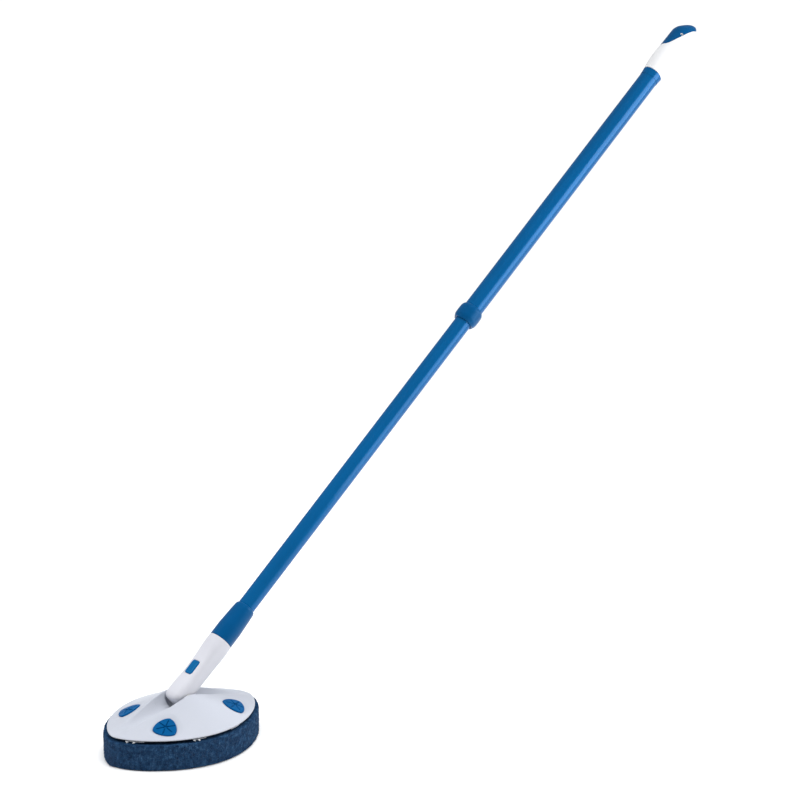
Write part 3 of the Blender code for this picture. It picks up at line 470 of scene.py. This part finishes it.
def head_cover():
    turns, rows = 480, 230
    ox, oy = outline(0, turns)
    scales = 1 - (np.arange(rows) / (rows - 1)) * 0.985
    x = np.concatenate([ox * s for s in scales])
    y = np.concatenate([oy * s for s in scales])
    fraction = np.repeat(scales, turns)
    z = cover_height(x, y, fraction)
    edge = (1 - fraction) * 0.088
    z = z - 0.0005 * (1 - smooth_step(0, 0.0011, edge)) ** 2
    rings = [(-0.0022, RIM_BOTTOM + 0.0006), (-0.0022, RIM_BOTTOM), (-0.0004, RIM_BOTTOM),
             (0.0, RIM_BOTTOM + 0.0004), (0.0, RIM_TOP - 0.0009)]
    points = [level_ring(*outline(offset, turns), height) for offset, height in rings]
    points = np.concatenate(points + [np.stack([x, y, z], 1)])
    faces = grid_faces(len(rings) + rows, turns)
    return piece("head_cover_shell", points, faces, HEAD_WHITE, "head", 70.0,
                 ["head_cover"])


# ---------------------------------------------------------------- star grippers

def gripper_outline(offset, count):
    a = 2 * np.pi * np.arange(count) / count
    radius = GRIPPER_RADIUS + offset
    lobe = GRIPPER_LOBE * radius / GRIPPER_RADIUS
    h = radius + lobe * np.cos(3 * a)
    slope = -3 * lobe * np.sin(3 * a)
    return h * np.cos(a) - slope * np.sin(a), h * np.sin(a) + slope * np.cos(a)


def star_gripper(name, place):
    """Rubber plate with a rolled edge and six slits that open a little at the centre."""
    turns, rows = 360, 70
    underside = ((-0.0060, -0.0026), (-0.0002, -0.0026), (0.0, -0.0022))
    rings = [level_ring(*gripper_outline(offset, turns), height) for offset, height in underside]
    for inset in np.linspace(0.0, GRIPPER_SPAN, rows):
        px, py = gripper_outline(-inset, turns)
        rolled = -0.0012 + 0.0013 * math.sqrt(1 - (1 - min(1.0, inset / GRIPPER_ROLL)) ** 2)
        height = np.full(turns, rolled + 0.0006 * smooth_step(GRIPPER_ROLL, 0.0110, inset))
        width = SLIT_WIDTH + SLIT_OPENING * (1 - smooth_step(0.0, 0.008, np.hypot(px, py)))
        for turn in SLIT_TURNS:
            c, s = math.cos(math.radians(turn)), math.sin(math.radians(turn))
            across = np.abs(-px * s + py * c)
            inside = 1 - smooth_step(0.0106, 0.0115, np.abs(px * c + py * s))
            height = height - SLIT_DEPTH * (1 - smooth_step(width * 0.6, width * 1.5, across)) * inside
        rings.append(level_ring(px, py, np.maximum(height, -0.0017)))
    points = moved(np.concatenate(rings), place)
    faces = grid_faces(len(rings), turns)
    return piece(f"gripper_plate_{name}", points, faces, GRIPPER_RUBBER, "head", 60.0,
                 [f"star_gripper_{name}"])


# ---------------------------------------------------------------- scrubbing pad and hook tape

def lattice_noise(points, scale, seed):
    """Smooth value noise on a lattice of the given cell size."""
    cell = np.floor(points / scale).astype(np.int64)
    part = points / scale - cell
    part = part * part * (3 - 2 * part)
    total = np.zeros(len(points))
    for corner in range(8):
        step = np.array([corner & 1, corner >> 1 & 1, corner >> 2 & 1])
        key = cell + step
        mixed = (key[:, 0] * 73856093) ^ (key[:, 1] * 19349663) ^ (key[:, 2] * 83492791)
        mixed = mixed ^ (seed * 2654435761)
        mixed = (mixed ^ (mixed >> 13)) * 1274126177
        value = ((mixed ^ (mixed >> 16)) & 0xFFFF) / 65535.0
        weight = np.prod(np.where(step, part, 1 - part), axis=1)
        total += weight * value
    return total * 2 - 1


def pad_profile():
    """(inset from the side, height) from the underside's middle, round the side, to the top's middle."""
    steps = [(PAD_REACH * (1 - k / 40) + PAD_EDGE, 0.0) for k in range(40)]
    quarter = [math.pi / 2 * k / 6 for k in range(7)]
    steps += [(PAD_EDGE * (1 - math.sin(a)), PAD_EDGE * (1 - math.cos(a))) for a in quarter]
    steps += [(0.0, PAD_EDGE + (PAD_HEIGHT - PAD_EDGE - PAD_TOP_EDGE) * k / 30) for k in range(1, 30)]
    steps += [(PAD_TOP_EDGE * (1 - math.cos(a)), PAD_HEIGHT - PAD_TOP_EDGE * (1 - math.sin(a)))
              for a in quarter]
    steps += [(PAD_TOP_EDGE + PAD_REACH * k / 40, PAD_HEIGHT) for k in range(1, 41)]
    return steps


def scrub_pad():
    turns = 520
    profile = pad_profile()
    rings = []
    for inset, z in profile:
        x, y = outline(PAD_OVERHANG - min(inset, PAD_TAPER_FROM), turns)
        if inset > PAD_TAPER_FROM:
            whole = PAD_REACH + PAD_EDGE
            share = (whole - inset) / (whole - PAD_TAPER_FROM)
            x, y = x * share, y * share
        rings.append(level_ring(x, y, z))
    points = np.concatenate(rings)
    a = np.tile(2 * np.pi * np.arange(turns) / turns, len(profile))
    inset = np.repeat([p[0] for p in profile], turns)
    z = points[:, 2]
    side = 1 - smooth_step(0.0, PAD_EDGE, inset)
    up = np.where(z > PAD_HEIGHT / 2, 1.0, -1.0) * (1 - side)
    normal = np.stack([np.cos(a) * side, np.sin(a) * side, up], 1)
    lumps = ((0.00030, 0.0090, 3), (0.00035, 0.0032, 5), (0.00038, 0.0013, 7))
    rough = sum(depth * lattice_noise(points, cell, seed) for depth, cell, seed in lumps)
    rough = rough * np.where(side > 0.5, 1.0, 0.45)
    points = points + normal * (rough - 0.0006 * side - 0.0004 * (1 - side))[:, None]
    points[:, 2] = np.clip(points[:, 2], 0.0, PAD_HEIGHT)
    faces = grid_faces(len(profile), turns)
    made = piece("scrub_pad_block", points, faces, PAD_WEB, "head", 80.0, ["scrub_pad"])
    return made


def strand(path, radius, sides=3):
    """Points and faces of a thin tube along a path."""
    rings = []
    for k, here in enumerate(path):
        ahead = path[min(k + 1, len(path) - 1)] - path[max(k - 1, 0)]
        ahead = ahead / max(np.linalg.norm(ahead), 1e-9)
        side = np.cross(ahead, (0.31, 0.55, 0.77))
        side = side / np.linalg.norm(side)
        other = np.cross(ahead, side)
        for i in range(sides):
            a = 2 * math.pi * i / sides
            rings.append(here + radius * (side * math.cos(a) + other * math.sin(a)))
    return rings, grid_faces(len(path), sides)


def add_to(points, faces, more, sides):
    faces += [tuple(len(points) + v for v in f) for f in sides]
    points += more


def pad_strands():
    """Loose nylon fibres that stand off the pad's side."""
    rng = random.Random(11)
    points, faces = [], []
    xs, ys = outline(PAD_OVERHANG - 0.0007, PAD_STRAND_PLACES)
    for _ in range(PAD_STRAND_COUNT):
        i = rng.randrange(PAD_STRAND_PLACES)
        a = 2 * math.pi * i / PAD_STRAND_PLACES
        z = 0.0012 + (PAD_HEIGHT - 0.0024) * rng.random()
        start = np.array([xs[i], ys[i], z])
        out = np.array([math.cos(a), math.sin(a), 0.0])
        along = np.array([-math.sin(a), math.cos(a), 0.0])
        heading = along * rng.uniform(-1, 1) + np.array([0, 0, 1.0]) * rng.uniform(-0.8, 0.8)
        heading = heading / max(np.linalg.norm(heading), 1e-6)
        length = rng.uniform(0.0018, 0.0050)
        lift = rng.uniform(0.0003, 0.0010)
        path = [start + heading * length * (t - 0.5) + out * (lift * math.sin(math.pi * t) - 0.0002)
                for t in np.linspace(0, 1, 5)]
        path = [np.array([p[0], p[1], min(max(p[2], 0.0003), PAD_HEIGHT - 0.0002)]) for p in path]
        add_to(points, faces, *strand(path, rng.uniform(0.00007, 0.00013)))
    return piece("scrub_pad_strands", points, faces, PAD_STRAND, "head", 80.0)


def tuft(rng, x, sign):
    """A clump of frayed fibres that comes out under the rim and lies on the pad's ledge."""
    ox, oy = outline(0.0, 2000)
    front = oy < 0
    nearest = int(np.argmin(np.abs(ox[front] - x)))
    foot = np.array([ox[front][nearest], oy[front][nearest]])
    out = np.array([foot[0] * 0.75, foot[1]])
    out = out / np.linalg.norm(out)
    beside = np.array([-out[1], out[0]])
    points, faces = [], []
    for _ in range(16):
        start = foot - out * 0.0008 + beside * rng.uniform(-0.0009, 0.0009)
        end = foot + out * rng.uniform(0.0012, 0.0030) + beside * rng.uniform(-0.0013, 0.0013)
        low, high = rng.uniform(0.0330, 0.0340), rng.uniform(0.0330, 0.0352)
        path = []
        for t in np.linspace(0, 1, 5):
            flat = start * (1 - t) + end * t
            height = low * (1 - t) + high * t + 0.0005 * math.sin(math.pi * t)
            path.append(np.array([flat[0], sign * -flat[1], height]))
        add_to(points, faces, *strand(path, rng.uniform(0.00014, 0.00022), 4))
    return points, faces


def hook_tape():
    """Hook tape: a thin woven backing with rows of nylon hooks, seen only where it reaches the rim."""
    rng = random.Random(5)
    for name, centre, half, tufts in HOOK_STRIPS:
        points, faces = [], []
        xs = np.linspace(centre - half, centre + half, 12)
        edge = []
        for x in xs:
            ys = np.linspace(0, 0.09, 500)
            inside = gauge(np.full_like(ys, abs(x)), ys) < 1 - 0.0022 / 0.08
            edge.append(ys[inside].max() if inside.any() else 0.0)
        edge = np.array(edge)
        ring = [(x, -y) for x, y in zip(xs, edge)] + [(x, y) for x, y in zip(xs[::-1], edge[::-1])]
        ring = [p for i, p in enumerate(ring) if math.dist(p, ring[i - 1]) > 1e-5]
        for z in HOOK_BACKING:
            points += [(x, y, z) for x, y in ring]
        faces += grid_faces(2, len(ring))
        for sign in (-1, 1):
            for _ in range(26):
                x = rng.uniform(centre - half, centre + half)
                reach = float(np.interp(x, xs, edge))
                y = sign * (reach + rng.uniform(-0.0060, -0.0014))
                height = rng.uniform(-0.0012, 0.0016)
                lean_x, lean_y = rng.uniform(-0.0004, 0.0004), rng.uniform(-0.0004, 0.0004)
                path = []
                for t in np.linspace(0, 1, 7):
                    bend = math.sin(math.pi * t)
                    path.append(np.array([x + lean_x + 0.0005 * bend * sign,
                                          y + lean_y + 0.0007 * (t - 0.5), 0.0335 - height * bend * 0.9]))
                add_to(points, faces, *strand(path, 0.00013, 4))
        for spot in tufts:
            add_to(points, faces, *tuft(rng, math.copysign(spot, centre), math.copysign(1, centre)))
        piece(f"hook_tape_{name}", points, faces, HOOK_NYLON, "head", 50.0,
              [f"hook_strip_{name}"])


# ---------------------------------------------------------------- neck and button

# Distance along the pole, shift, half depth, half width, corner radius at the button and at the underside
NECK_STATIONS = (
    (-0.0156, 0.0004, 0.0060, 0.0072, 0.0050, 0.0050),
    (-0.0150, 0.0004, 0.0082, 0.0094, 0.0062, 0.0064),
    (-0.0136, 0.0004, 0.0101, 0.0113, 0.0066, 0.0076),
    (-0.0110, 0.0004, 0.0115, 0.0127, 0.0068, 0.0084),
    (-0.0072, 0.0005, 0.0123, 0.0134, 0.0068, 0.0089),
    (-0.0020, 0.0006, 0.0125, 0.0136, 0.0068, 0.0090),
    (0.0060, 0.0008, 0.0123, 0.0136, 0.0067, 0.0091),
    (0.0140, 0.0012, 0.0119, 0.0136, 0.0066, 0.0094),
    (0.0220, 0.0015, 0.0116, 0.0135, 0.0066, 0.0098),
    (0.0420, 0.0015, 0.0117, 0.0136, 0.0068, 0.0092),
    (0.0540, 0.0012, 0.0124, 0.0141, 0.0078, 0.0092),
    (0.0640, 0.0007, 0.0135, 0.0146, 0.0098, 0.0104),
    (0.0720, 0.0002, 0.0145, 0.0149, 0.0124, 0.0126),
    (0.0787, 0.0, 0.0150, 0.0150, 0.0146, 0.0146),
)


def rounded_rectangle(half_x, half_y, radius, corner_steps=14, side_steps=10, under=None):
    """A closed ring; the corners on the +x side can have a radius of their own."""
    ring = []
    under = radius if under is None else under
    corners = ((1, 1, 0, under), (-1, 1, 90, radius), (-1, -1, 180, radius), (1, -1, 270, under))
    for n, (sx, sy, start, r) in enumerate(corners):
        cx, cy = sx * (half_x - r), sy * (half_y - r)
        for k in range(corner_steps + 1):
            a = math.radians(start + 90 * k / corner_steps)
            ring.append((cx + r * math.cos(a), cy + r * math.sin(a)))
        nx, ny, nstart, nr = corners[(n + 1) % 4]
        a = math.radians(nstart)
        end = (nx * (half_x - nr) + nr * math.cos(a), ny * (half_y - nr) + nr * math.sin(a))
        first = ring[-1]
        for k in range(1, side_steps):
            t = k / side_steps
            ring.append((first[0] * (1 - t) + end[0] * t, first[1] * (1 - t) + end[1] * t))
    return np.array(ring)


def cut(target, tool):
    step = target.modifiers.new(f"difference_{len(target.modifiers)}", "BOOLEAN")
    step.operation = "DIFFERENCE"
    step.solver = "EXACT"
    step.object = tool


def cutter(name, points, faces):
    made = linked(name, mesh_of(name, points, faces))
    made.hide_render = True
    made.display_type = "WIRE"
    return made


def applied(target, sharp):
    """Replaces the piece's mesh with its modified one and removes the cutters."""
    bpy.context.view_layer.update()
    evaluated = target.evaluated_get(bpy.context.evaluated_depsgraph_get())
    mesh = bpy.data.meshes.new_from_object(evaluated)
    cutters = [m.object for m in target.modifiers if m.type == "BOOLEAN"]
    target.modifiers.clear()
    target.data = mesh
    smoothed(mesh, sharp)
    for old in cutters:
        bpy.data.objects.remove(old, do_unlink=True)
    return target


def button_frame():
    """A frame on the pole's axis under the button: z out of its top."""
    turn = Matrix(((0, 0, -1), (0, 1, 0), (1, 0, 0))).to_4x4()
    return pole_frame(BUTTON_CENTRE) @ turn


def button_window(name):
    """The well that the button sinks into, through the neck's wall and the spigot's."""
    ring = rounded_rectangle(*WELL, 8, 1)
    well = np.concatenate([level_ring(*ring.T, z) for z in WELL_LEVELS])
    return cutter(name, moved(well, button_frame()), grid_faces(len(WELL_LEVELS), len(ring)))


def neck():
    stations = [s[0] for s in NECK_STATIONS]
    at = np.concatenate([np.linspace(-0.0156, -0.0072, 36)[:-1], np.linspace(-0.0072, 0.0783, 110)])
    columns = (curve_through(stations, [s[k] for s in NECK_STATIONS], at) for k in range(1, 6))
    rings = []
    for along, s, hx, hy, r, under in zip(at, *columns):
        most = min(hx, hy) - 0.0001
        ring = rounded_rectangle(hx, hy, min(r, most), under=min(under, most))
        rings.append(level_ring(ring[:, 0] + s, ring[:, 1], along))
    ring = rings[-1]
    for inset, back in ((0.00012, 0.00015), (0.0004, 0.0), (0.0060, 0.0)):
        scale = 1 - inset / NECK_MOUTH_RADIUS
        rings.append(level_ring(ring[:, 0] * scale, ring[:, 1] * scale, NECK_MOUTH - back))
    points = moved(np.concatenate(rings), pole_frame())
    made = piece("neck_arm", points, grid_faces(len(rings), len(ring)), NECK_WHITE, "inner_pole",
                 40.0, ["neck"])
    cut(made, button_window("neck_window"))
    return applied(made, 40.0)


def release_button():
    """Push button with a rolled edge and a shallow thumb hollow with three ridges."""
    half_x, half_y, corner = BUTTON
    rings = []
    for z in np.linspace(BUTTON_BOTTOM, BUTTON_SHOULDER, 6):
        ring = rounded_rectangle(half_x, half_y, corner, 12, 12)
        rings.append(level_ring(*ring.T, z))
    for inset in np.linspace(0.0, BUTTON_SPAN, 46)[1:]:
        ring = rounded_rectangle(half_x - inset, max(half_y - inset, 0.00008),
                                 max(corner - inset, 0.00004), 12, 12)
        roll = BUTTON_ROLL * math.sqrt(1 - (1 - min(1.0, inset / BUTTON_ROLL)) ** 2)
        hollow = 0.0005 * smooth_step(BUTTON_ROLL, 0.0045, inset)
        ridges = 0.00022 * np.cos(ring[:, 0] / 0.0026 * 2 * math.pi) * smooth_step(0.0020, 0.0034, inset)
        ridges = ridges * (np.abs(ring[:, 0]) < 0.0052)
        rings.append(level_ring(*ring.T, BUTTON_SHOULDER + roll - hollow + ridges))
    points = moved(np.concatenate(rings), button_frame())
    return piece("release_button_cap", points, grid_faces(len(rings), len(ring)), BUTTON_BLUE, "button",
                 45.0, ["release_button"])


# ---------------------------------------------------------------- pole pieces

def pole_cuff():
    outer = [(0.01445, 0.0790), (0.0149, 0.07915), (0.0151, 0.0796)]
    at = np.linspace(0.0800, 0.1245, 50)
    radius = curve_through((0.0800, 0.0960, 0.1040, 0.1130, 0.1200, 0.1245),
                           (0.0151, 0.0151, 0.0147, 0.01415, 0.0137, 0.0133), at)
    outer += list(zip(radius, at))
    for k in range(1, 13):
        a = math.pi / 2 * k / 12
        outer.append((0.0133 - 0.0020 * (1 - math.cos(a)), 0.1245 + 0.0058 * math.sin(a)))
    profile = [(0.0050, 0.0175), (0.0068, 0.0175), (0.0078, 0.0185), (0.0078, 0.0790)] + outer
    profile += [(0.0113, 0.1305), (0.0113, 0.0920), (0.0050, 0.0920)]
    made = turned("pole_cuff_shell", profile, BLUE_PLASTIC, "inner_pole", ["pole_cuff"])
    cut(made, button_window("spigot_window"))
    return applied(made, 28.0)


def tubes():
    def tube(name, radius, bore, start, end, body, node_name):
        edge = 0.00025
        profile = [(bore, start + edge), (bore + edge, start)]
        profile += [(radius - edge, start), (radius, start + edge)]
        profile += [(radius, start + (end - start) * k / 12) for k in range(1, 12)]
        profile += [(radius, end - edge), (radius - edge, end), (bore + edge, end), (bore, end - edge)]
        return turned(name, profile, TUBE_PAINT, body, [node_name])

    tube("inner_tube_skin", *INNER_TUBE, "inner_pole", "inner_tube")
    tube("outer_tube_skin", *OUTER_TUBE, "outer_pole", "outer_tube")


def lock_collar():
    start, length = COLLAR_START, 0.0225
    at = np.linspace(0.0, length, 48)
    radius = curve_through(
        (0.0, 0.0006, 0.0022, 0.0046, 0.0066, 0.0098, 0.0140, 0.0172, 0.0196, 0.0214, length),
        (0.0129, 0.0135, 0.0143, 0.0153, 0.0156, 0.0157, 0.0157, 0.0156, 0.0151, 0.0143, 0.0134), at)
    profile = [(0.0114, start), (0.0125, start)] + [(r, start + a) for r, a in zip(radius, at)]
    profile += [(0.0128, start + length), (0.0128, start + 0.0018), (0.0114, start + 0.0018)]
    return turned("lock_collar_shell", profile, BLUE_PLASTIC, "outer_pole", ["lock_collar"])


def grip_ferrule():
    at = np.linspace(1.0265, 1.0356, 14)
    radius = curve_through((1.0265, 1.0310, 1.0356), (0.01285, 0.0131, 0.0136), at)
    profile = [(0.0128, 1.0265)] + list(zip(radius, at)) + [(0.0134, 1.0358), (0.0128, 1.0358)]
    return turned("grip_ferrule_band", profile, TUBE_PAINT, "outer_pole", ["grip_ferrule"])


# Distance along the grip, reach to the palm's side, reach to the back
GRIP_STATIONS = (
    (0.0000, 0.0136, 0.0128),
    (0.0060, 0.0145, 0.0130),
    (0.0140, 0.0154, 0.0133),
    (0.0250, 0.0158, 0.0136),
    (0.0330, 0.0157, 0.0138),
    (0.0420, 0.0152, 0.0139),
    (0.0520, 0.0150, 0.0140),
    (0.0620, 0.0148, 0.0141),
    (0.0700, 0.0146, 0.0141),
    (0.0760, 0.0128, 0.0140),
    (0.0815, 0.0089, 0.0137),
    (0.0860, 0.0049, 0.0131),
    (0.0895, 0.0009, 0.0119),
    (0.0915, -0.0027, 0.0103),
    (0.0925, -0.0051, 0.0082),
)


def grip_frame():
    return pole_frame(GRIP_START) @ Matrix.Rotation(GRIP_TURN, 4, "Z")


def seam_frame():
    """A frame in the middle of the grip's seam: z towards the blue part, x along the seam."""
    near_side, near, far_side, far = SEAM
    across = Vector((far_side - near_side, 0, far - near)).normalized()
    side = Vector((0, 1, 0))
    normal = across.cross(side)
    if normal.z < 0:
        across, normal = -across, -normal
    middle = Vector(((near_side + far_side) / 2, 0, (near + far) / 2))
    turn = Matrix((across, side, normal)).transposed().to_4x4()
    return grip_frame() @ Matrix.Translation(middle) @ turn


def handle_solid(name, look, stands_for):
    stations = [s[0] for s in GRIP_STATIONS]
    at = np.concatenate([np.linspace(0.0004, 0.0760, 90)[:-1], np.linspace(0.0760, 0.0924, 60)])
    belly = curve_through(stations, [s[1] for s in GRIP_STATIONS], at)
    back = curve_through(stations, [s[2] for s in GRIP_STATIONS], at)
    centre, half = (belly - back) / 2, (belly + back) / 2
    rings = [circle(0.0122, 0.0, GRIP_TURNS), circle(0.01255, 0.0001, GRIP_TURNS)]
    rings += [circle(h, along, GRIP_TURNS, c) for along, c, h in zip(at, centre, half)]
    rings.append(circle(half[-1] * 0.5, 0.09248, GRIP_TURNS, centre[-1]))
    points = moved(np.concatenate(rings), grip_frame())
    faces = grid_faces(len(rings), GRIP_TURNS)
    return piece(name, points, faces, look, "outer_pole", 35.0, stands_for)


def round_hole(profile):
    """Rings round the hanging hole's axis from (radius, distance from the grip's middle)."""
    turn = 2 * np.pi * np.arange(HOLE_TURNS) / HOLE_TURNS
    rings = [np.column_stack([HANG_HOLE_SIDE + r * np.cos(turn), np.full(HOLE_TURNS, y),
                              HANG_HOLE_ALONG + r * np.sin(turn)]) for r, y in profile]
    return moved(np.concatenate(rings), grip_frame())


def grip():
    white = handle_solid("grip_handle", GRIP_WHITE, ["grip"])
    blue = handle_solid("grip_end_insert", BLUE_PLASTIC, ["grip_insert"])

    def block(name, offset, far):
        """Everything on one side of the bowed seam."""
        across = np.concatenate([[-0.2], np.linspace(-0.0300, 0.0300, 61), [0.2]])
        bow = -np.interp(-across, [p[0] for p in SEAM_BOW], [p[1] for p in SEAM_BOW]) + offset
        ring = list(zip(across, bow)) + [(0.2, far), (-0.2, far)]
        points = np.array([(u, y, n) for y in (-0.04, 0.04) for u, n in ring])
        return cutter(name, moved(points, seam_frame()), grid_faces(2, len(ring)))

    cut(white, block("above_seam", -SEAM_HALF_GAP, 0.2))
    cut(blue, block("below_seam", SEAM_HALF_GAP, -0.2))
    for target in (white, blue):
        hole = round_hole(((HANG_HOLE_RADIUS, -0.0250), (HANG_HOLE_RADIUS, 0.0250)))
        cut(target, cutter(f"hang_hole_{target.name}", hole, grid_faces(2, HOLE_TURNS)))
        applied(target, 35.0)
        bevel = target.modifiers.new("edge", "BEVEL")
        bevel.width = 0.0003
        bevel.segments = 2
        bevel.limit_method = "ANGLE"
        bevel.angle_limit = math.radians(40)
    faces = grid_faces(len(EYELET), HOLE_TURNS, close_rows=True)
    piece("hang_eyelet", round_hole(EYELET), faces, GRIP_WHITE, "outer_pole")


# ---------------------------------------------------------------- small CAD pieces that stay

def finish_cad_nodes():
    """Weld and smooth the carried-over pieces and give each its finish."""
    looks = {
        # The base plate's dark colour is painted shade for the gap between the rim and the pad.
        "base_plate": DARK_PLASTIC_AND_GAP_SHADE, "lock_collet": DARK_PLASTIC_AND_GAP_SHADE, "collar_wiper": GRIPPER_RUBBER,
        "lock_plug": ACETAL, "lock_cap": ACETAL, "pin_washer_front": ACETAL, "pin_washer_rear": ACETAL,
        "pivot_pin": STEEL, "button_spring": STEEL, "pivot_saddle_front": HEAD_WHITE,
        "pivot_saddle_rear": HEAD_WHITE,
    }
    for name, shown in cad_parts.items():
        if shown.hide_render:
            continue
        look = looks.get(name, STEEL if name.startswith("cover_screw") else None)
        if look is None:
            continue
        shown.data.materials.clear()
        shown.data.materials.append(look)
        for polygon in shown.data.polygons:
            polygon.use_smooth = True
            polygon.material_index = 0
        weld = shown.modifiers.new("weld", "WELD")
        weld.merge_threshold = 0.00001
        split = shown.modifiers.new("edges", "EDGE_SPLIT")
        split.split_angle = math.radians(32)


# ---------------------------------------------------------------- stage

def stage():
    size = 40.0
    mesh = bpy.data.meshes.new("floor")
    corners = [(-size, -size, 0), (size, -size, 0), (size, size, 0), (-size, size, 0)]
    mesh.from_pydata(corners, [], [(0, 1, 2, 3)])
    floor = linked("floor", mesh)
    floor.location.z = -0.0002
    look, tree, shader = nodes_of("floor_look")
    place = node(tree, "ShaderNodeTexCoord").outputs["Object"]
    coloured(tree, shader, noise(tree, place, 1.5), ((0.3, (0.93,) * 3), (0.7, (0.94,) * 3)))
    shader.inputs["Roughness"].default_value = 1.0
    shader.inputs["Specular IOR Level"].default_value = 0.0
    mesh.materials.append(look)

    world = bpy.data.worlds.new("studio")
    bpy.context.scene.world = world
    world.use_nodes = True
    background = world.node_tree.nodes["Background"]
    background.inputs["Color"].default_value = WORLD_COLOUR
    background.inputs["Strength"].default_value = WORLD_STRENGTH

    def aimed(name, light, place, target, up=(0, 0, 1)):
        lamp = linked(name, light)
        lamp.location = place
        back = (Vector(place) - Vector(target)).normalized()
        across = Vector(up).cross(back).normalized()
        lamp.rotation_euler = Matrix((across, back.cross(across), back)).transposed().to_euler()
        lamp.visible_camera = False
        return lamp

    overhead = bpy.data.lights.new("overhead", "SUN")
    overhead.energy = SUN_STRENGTH
    overhead.angle = math.radians(SUN_SPREAD)
    aimed("overhead", overhead, SUN_PLACE, (0, 0, 0), (0, 1, 0)).visible_glossy = False

    def softbox(name, place, target, width, height, radiance, up=(0, 0, 1)):
        light = bpy.data.lights.new(name, "AREA")
        light.shape = "RECTANGLE"
        light.size, light.size_y = width, height
        light.energy = radiance * math.pi * width * height
        return aimed(name, light, place, target, up)

    pole = Vector((math.sin(LEAN), 0, math.cos(LEAN)))
    middle = Vector((0, 0, AXIS_HEIGHT)) + pole * STRIP_ALONG
    softbox("pole_strip", middle + Vector(STRIP_OFFSET), middle, *STRIP, pole)
    softbox("top_panel", *TOP_PANEL)
    for name, place, radiance in FILLS:
        fill = softbox(name, place, (0, 0, 0.05), 1.2, 1.2, radiance)
        fill.data.spread = math.radians(60)
        fill.visible_glossy = False


def camera():
    data = bpy.data.cameras.new("camera")
    data.sensor_width = 36.0
    data.lens = CAMERA_LENS
    data.clip_start, data.clip_end = 0.05, 200.0
    made = linked("camera", data)
    made.location = CAMERA_PLACE
    made.rotation_euler = Vector(CAMERA_AHEAD).to_track_quat("-Z", "Y").to_euler()
    bpy.context.scene.camera = made
    bpy.context.scene.view_settings.view_transform = "Standard"


head_cover()
for gripper_name, gripper_place in gripper_places():
    star_gripper(gripper_name, gripper_place)
scrub_pad()
pad_strands()
hook_tape()
neck()
release_button()
pole_cuff()
tubes()
lock_collar()
grip_ferrule()
grip()
finish_cad_nodes()
stage()
camera()
